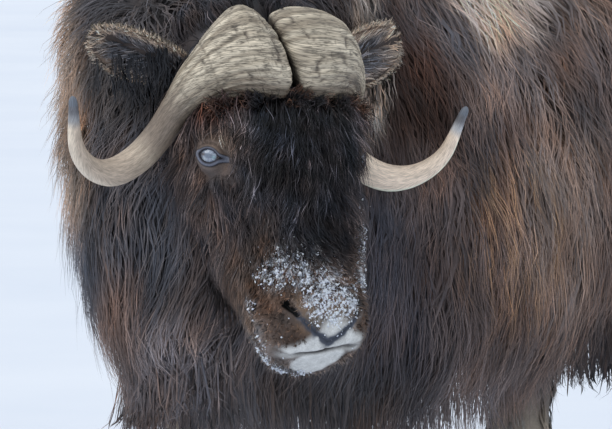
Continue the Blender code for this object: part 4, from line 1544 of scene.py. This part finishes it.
def coat_ear(side, name, form):
    """Short hair with a pale edge, longer pale hair round the rim, and tufts that hang from
    the lower edge: pale ones from the left ear's front, like the wool behind it, and dark
    ones from the right ear, whose near-black is painted shade from the mane."""
    middle, base = form.outline.mean((0, 1)), form.outline[0].mean(0)

    def level(p):
        """How far a point is from the ear's middle line, with a sign."""
        return (p - middle) @ form.broad

    def share_of_length(p):
        return ((p - base) @ form.way) / .17

    def outwards(along, across):
        """A flow towards the ear's tip and away from its middle line."""
        return lambda p, n: (form.way * along
                             + form.broad * np.sign(level(p))[..., None] * across)

    def colours(p, n):
        inside = ease(n @ form.opens, 0.0, .5)
        low = .01 * ease((p - middle) @ DOWN, -.01, .02)
        rim = np.maximum(ease(np.abs(level(p)) - low, .014, .032),
                         ease(share_of_length(p), .72, .95))
        return painted(display(62, 50, 45), display(116, 98, 86),
                       (inside, (36, 34, 36), (120, 119, 124)),
                       (rim, (130, 110, 96), (208, 186, 166)))

    def weight(p, n):
        edge = ease(np.abs(level(p)), .022, .036)
        return .6 + 1.4 * ease(n @ form.opens, 0, .4) + 1.6 * edge

    def rim_weight(p, n):
        far = np.maximum(ease(np.abs(level(p)), .024, .034),
                         ease(share_of_length(p), .8, .95))
        return far * (n @ form.opens < .5) + 1e-6

    def plain(dark, light):
        """The same root and tip colours all over."""
        return lambda p, n: (display(*dark) + 0 * p, display(*light) + 0 * p)

    short = dict(wavelength=.02, hangs=False, vary=.5)
    grow("coat_ear_" + name, 2300, 121 + side, form, colours, **short | dict(
        weight=weight, flow=outwards(.8, .5), width=.0012,
        length=lambda p, n: .011 + .009 * ease(n @ form.opens, 0, .6), rows=3, clump=4,
        spread=.004, gather=.3, wave=.001, stray=.0025, low=.6, high=1.3, gleam=(.2, 2.2)))
    pale = plain((158, 136, 118), (232, 212, 192))
    grow("rim_ear_" + name, 1500, 141 + side, form, pale, **short | dict(
        weight=rim_weight, flow=outwards(.45, 1), length=.011, width=.001, rows=2, clump=2,
        spread=.003, gather=.15, wave=.0008, stray=.003, low=.7, high=2.0, fade=.5))

    if side > 0:
        tufts, back, low_from, low_to = 1300, 0.0, -.001, .0195
        tint = plain((128, 110, 99), (200, 179, 163))
        own = dict(length=.064, fade=.5, spread=.005, gather=.15, stray=.003, soft=.85)
    else:
        tufts, back, low_from, low_to = 400, .15, -.016, .012
        # painted shade: the right ear's tufts are painted near-black for the mane's shade over
        # them; their own colour is pale like the left ear's
        tint = plain((20, 21, 24), (58, 58, 62))
        own = dict(length=.055, spread=.007, gather=.55, stray=.008)

    def tuft_weight(p, n):
        off = p - middle
        near = ease(.045 - off @ form.way, 0, .05)
        return ease(off @ DOWN, low_from, low_to) * near * (back + ease(n @ form.opens, -.1, .3))

    grow("tufts_ear_" + name, tufts, 125 + side, form, tint, weight=tuft_weight, flow=DOWN,
         width=.0017, clump=8, wave=.0022, wavelength=.03, hang_at=2.0, vary=.3,
         gleam=(.12, 1.5), **own)


def coat_legs(legs, tail):
    for k, (foot, form) in enumerate(legs.items()):
        grow("coat_leg_" + foot, 850, 131 + k, form, leg_colours, hangs=False,
             flow=lambda p, n: DOWN + .12 * n, width=.005, rows=3, vary=.15, flat=.25,
             length=lambda p, n: .026 + .025 * ease(p[..., 2], .3, .5), soft=.75, clump=5,
             spread=.008, gather=.5, wave=.001, wavelength=.03, stray=.002, low=.7,
             slot="leg")
    grow("coat_tail", 500, 139, tail, markings, flow=DOWN, length=.09, width=.006, rows=4,
         clump=5, spread=.012)


torso, head, ears, legs, tail = make_skin()
for side, name in SIDES:
    make_horn(side, "horn_" + name)
    make_eye(side, "eye_" + name)
for name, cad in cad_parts.items():
    if name.startswith("hoof_"):
        for place in cad.material_slots:
            place.material = HOOF_FINISH
make_frost(head)
coat_torso(torso)
coat_head(head)
for side, name in SIDES:
    coat_ear(side, name, ears[name])
coat_legs(legs, tail)


# ---------------------------------------------------------------- floor, light, camera

def make_floor(rings=40, spokes=64):
    """A flat disc of 30 m radius round the row frame's origin, facing up."""
    reach, a = grids(np.linspace(.5, 30, rings), spokes)
    points = np.stack([reach * np.cos(a), reach * np.sin(a), 0 * a], -1).reshape(-1, 3)
    j = np.arange(spokes)
    middle = np.stack([j, (j + 1) % spokes, 0 * j + rings * spokes], 1)
    tris = np.vstack([grid_tris(rings, spokes), middle])
    points = np.vstack([points, (0, 0, 0)])
    p, q, r = (points[tris[:, k]] for k in range(3))
    down = np.cross(q - p, r - p)[:, 2] < 0
    tris[down] = tris[down][:, ::-1]
    build("floor", points, tris, floor_material(), smooth=False)


def aimed(name, data, place, target):
    """A new object at `place` that looks along -Z towards `target`, with +Y up."""
    holder = bpy.data.objects.new(name, data)
    bpy.context.scene.collection.objects.link(holder)
    turn = (Vector(place) - Vector(target)).to_track_quat("Z", "Y").to_matrix().to_4x4()
    holder.matrix_world = Matrix.Translation(Vector(place)) @ turn
    return holder


make_floor()
scene = bpy.context.scene
scene.world = bpy.data.worlds.new("overcast")
scene.world.use_nodes = True
sky = scene.world.node_tree.nodes["Background"].inputs
sky[0].default_value, sky[1].default_value = (*display(226, 233, 241), 1), .98

# A broad sun: even over the whole floor, its shadows as soft as its angle is wide.
sun = bpy.data.lights.new("soft_sun", "SUN")
sun.angle, sun.energy, sun.color = math.radians(50), 1.1, (1.0, .985, .96)
aimed("soft_sun", sun, (-.6, -4.2, 5.0), (.2, -.6, .85))

lens = bpy.data.cameras.new("camera")
lens.sensor_fit, lens.sensor_width, lens.clip_end = "HORIZONTAL", 36, 200
lens.lens = 36 * CAMERA_FAR / .8996  # metres of the picture's width, at the target
scene.camera = aimed("camera", lens, TARGET + CAMERA_FAR * CAMERA_WAY, TARGET)
scene.view_settings.view_transform = "Standard"
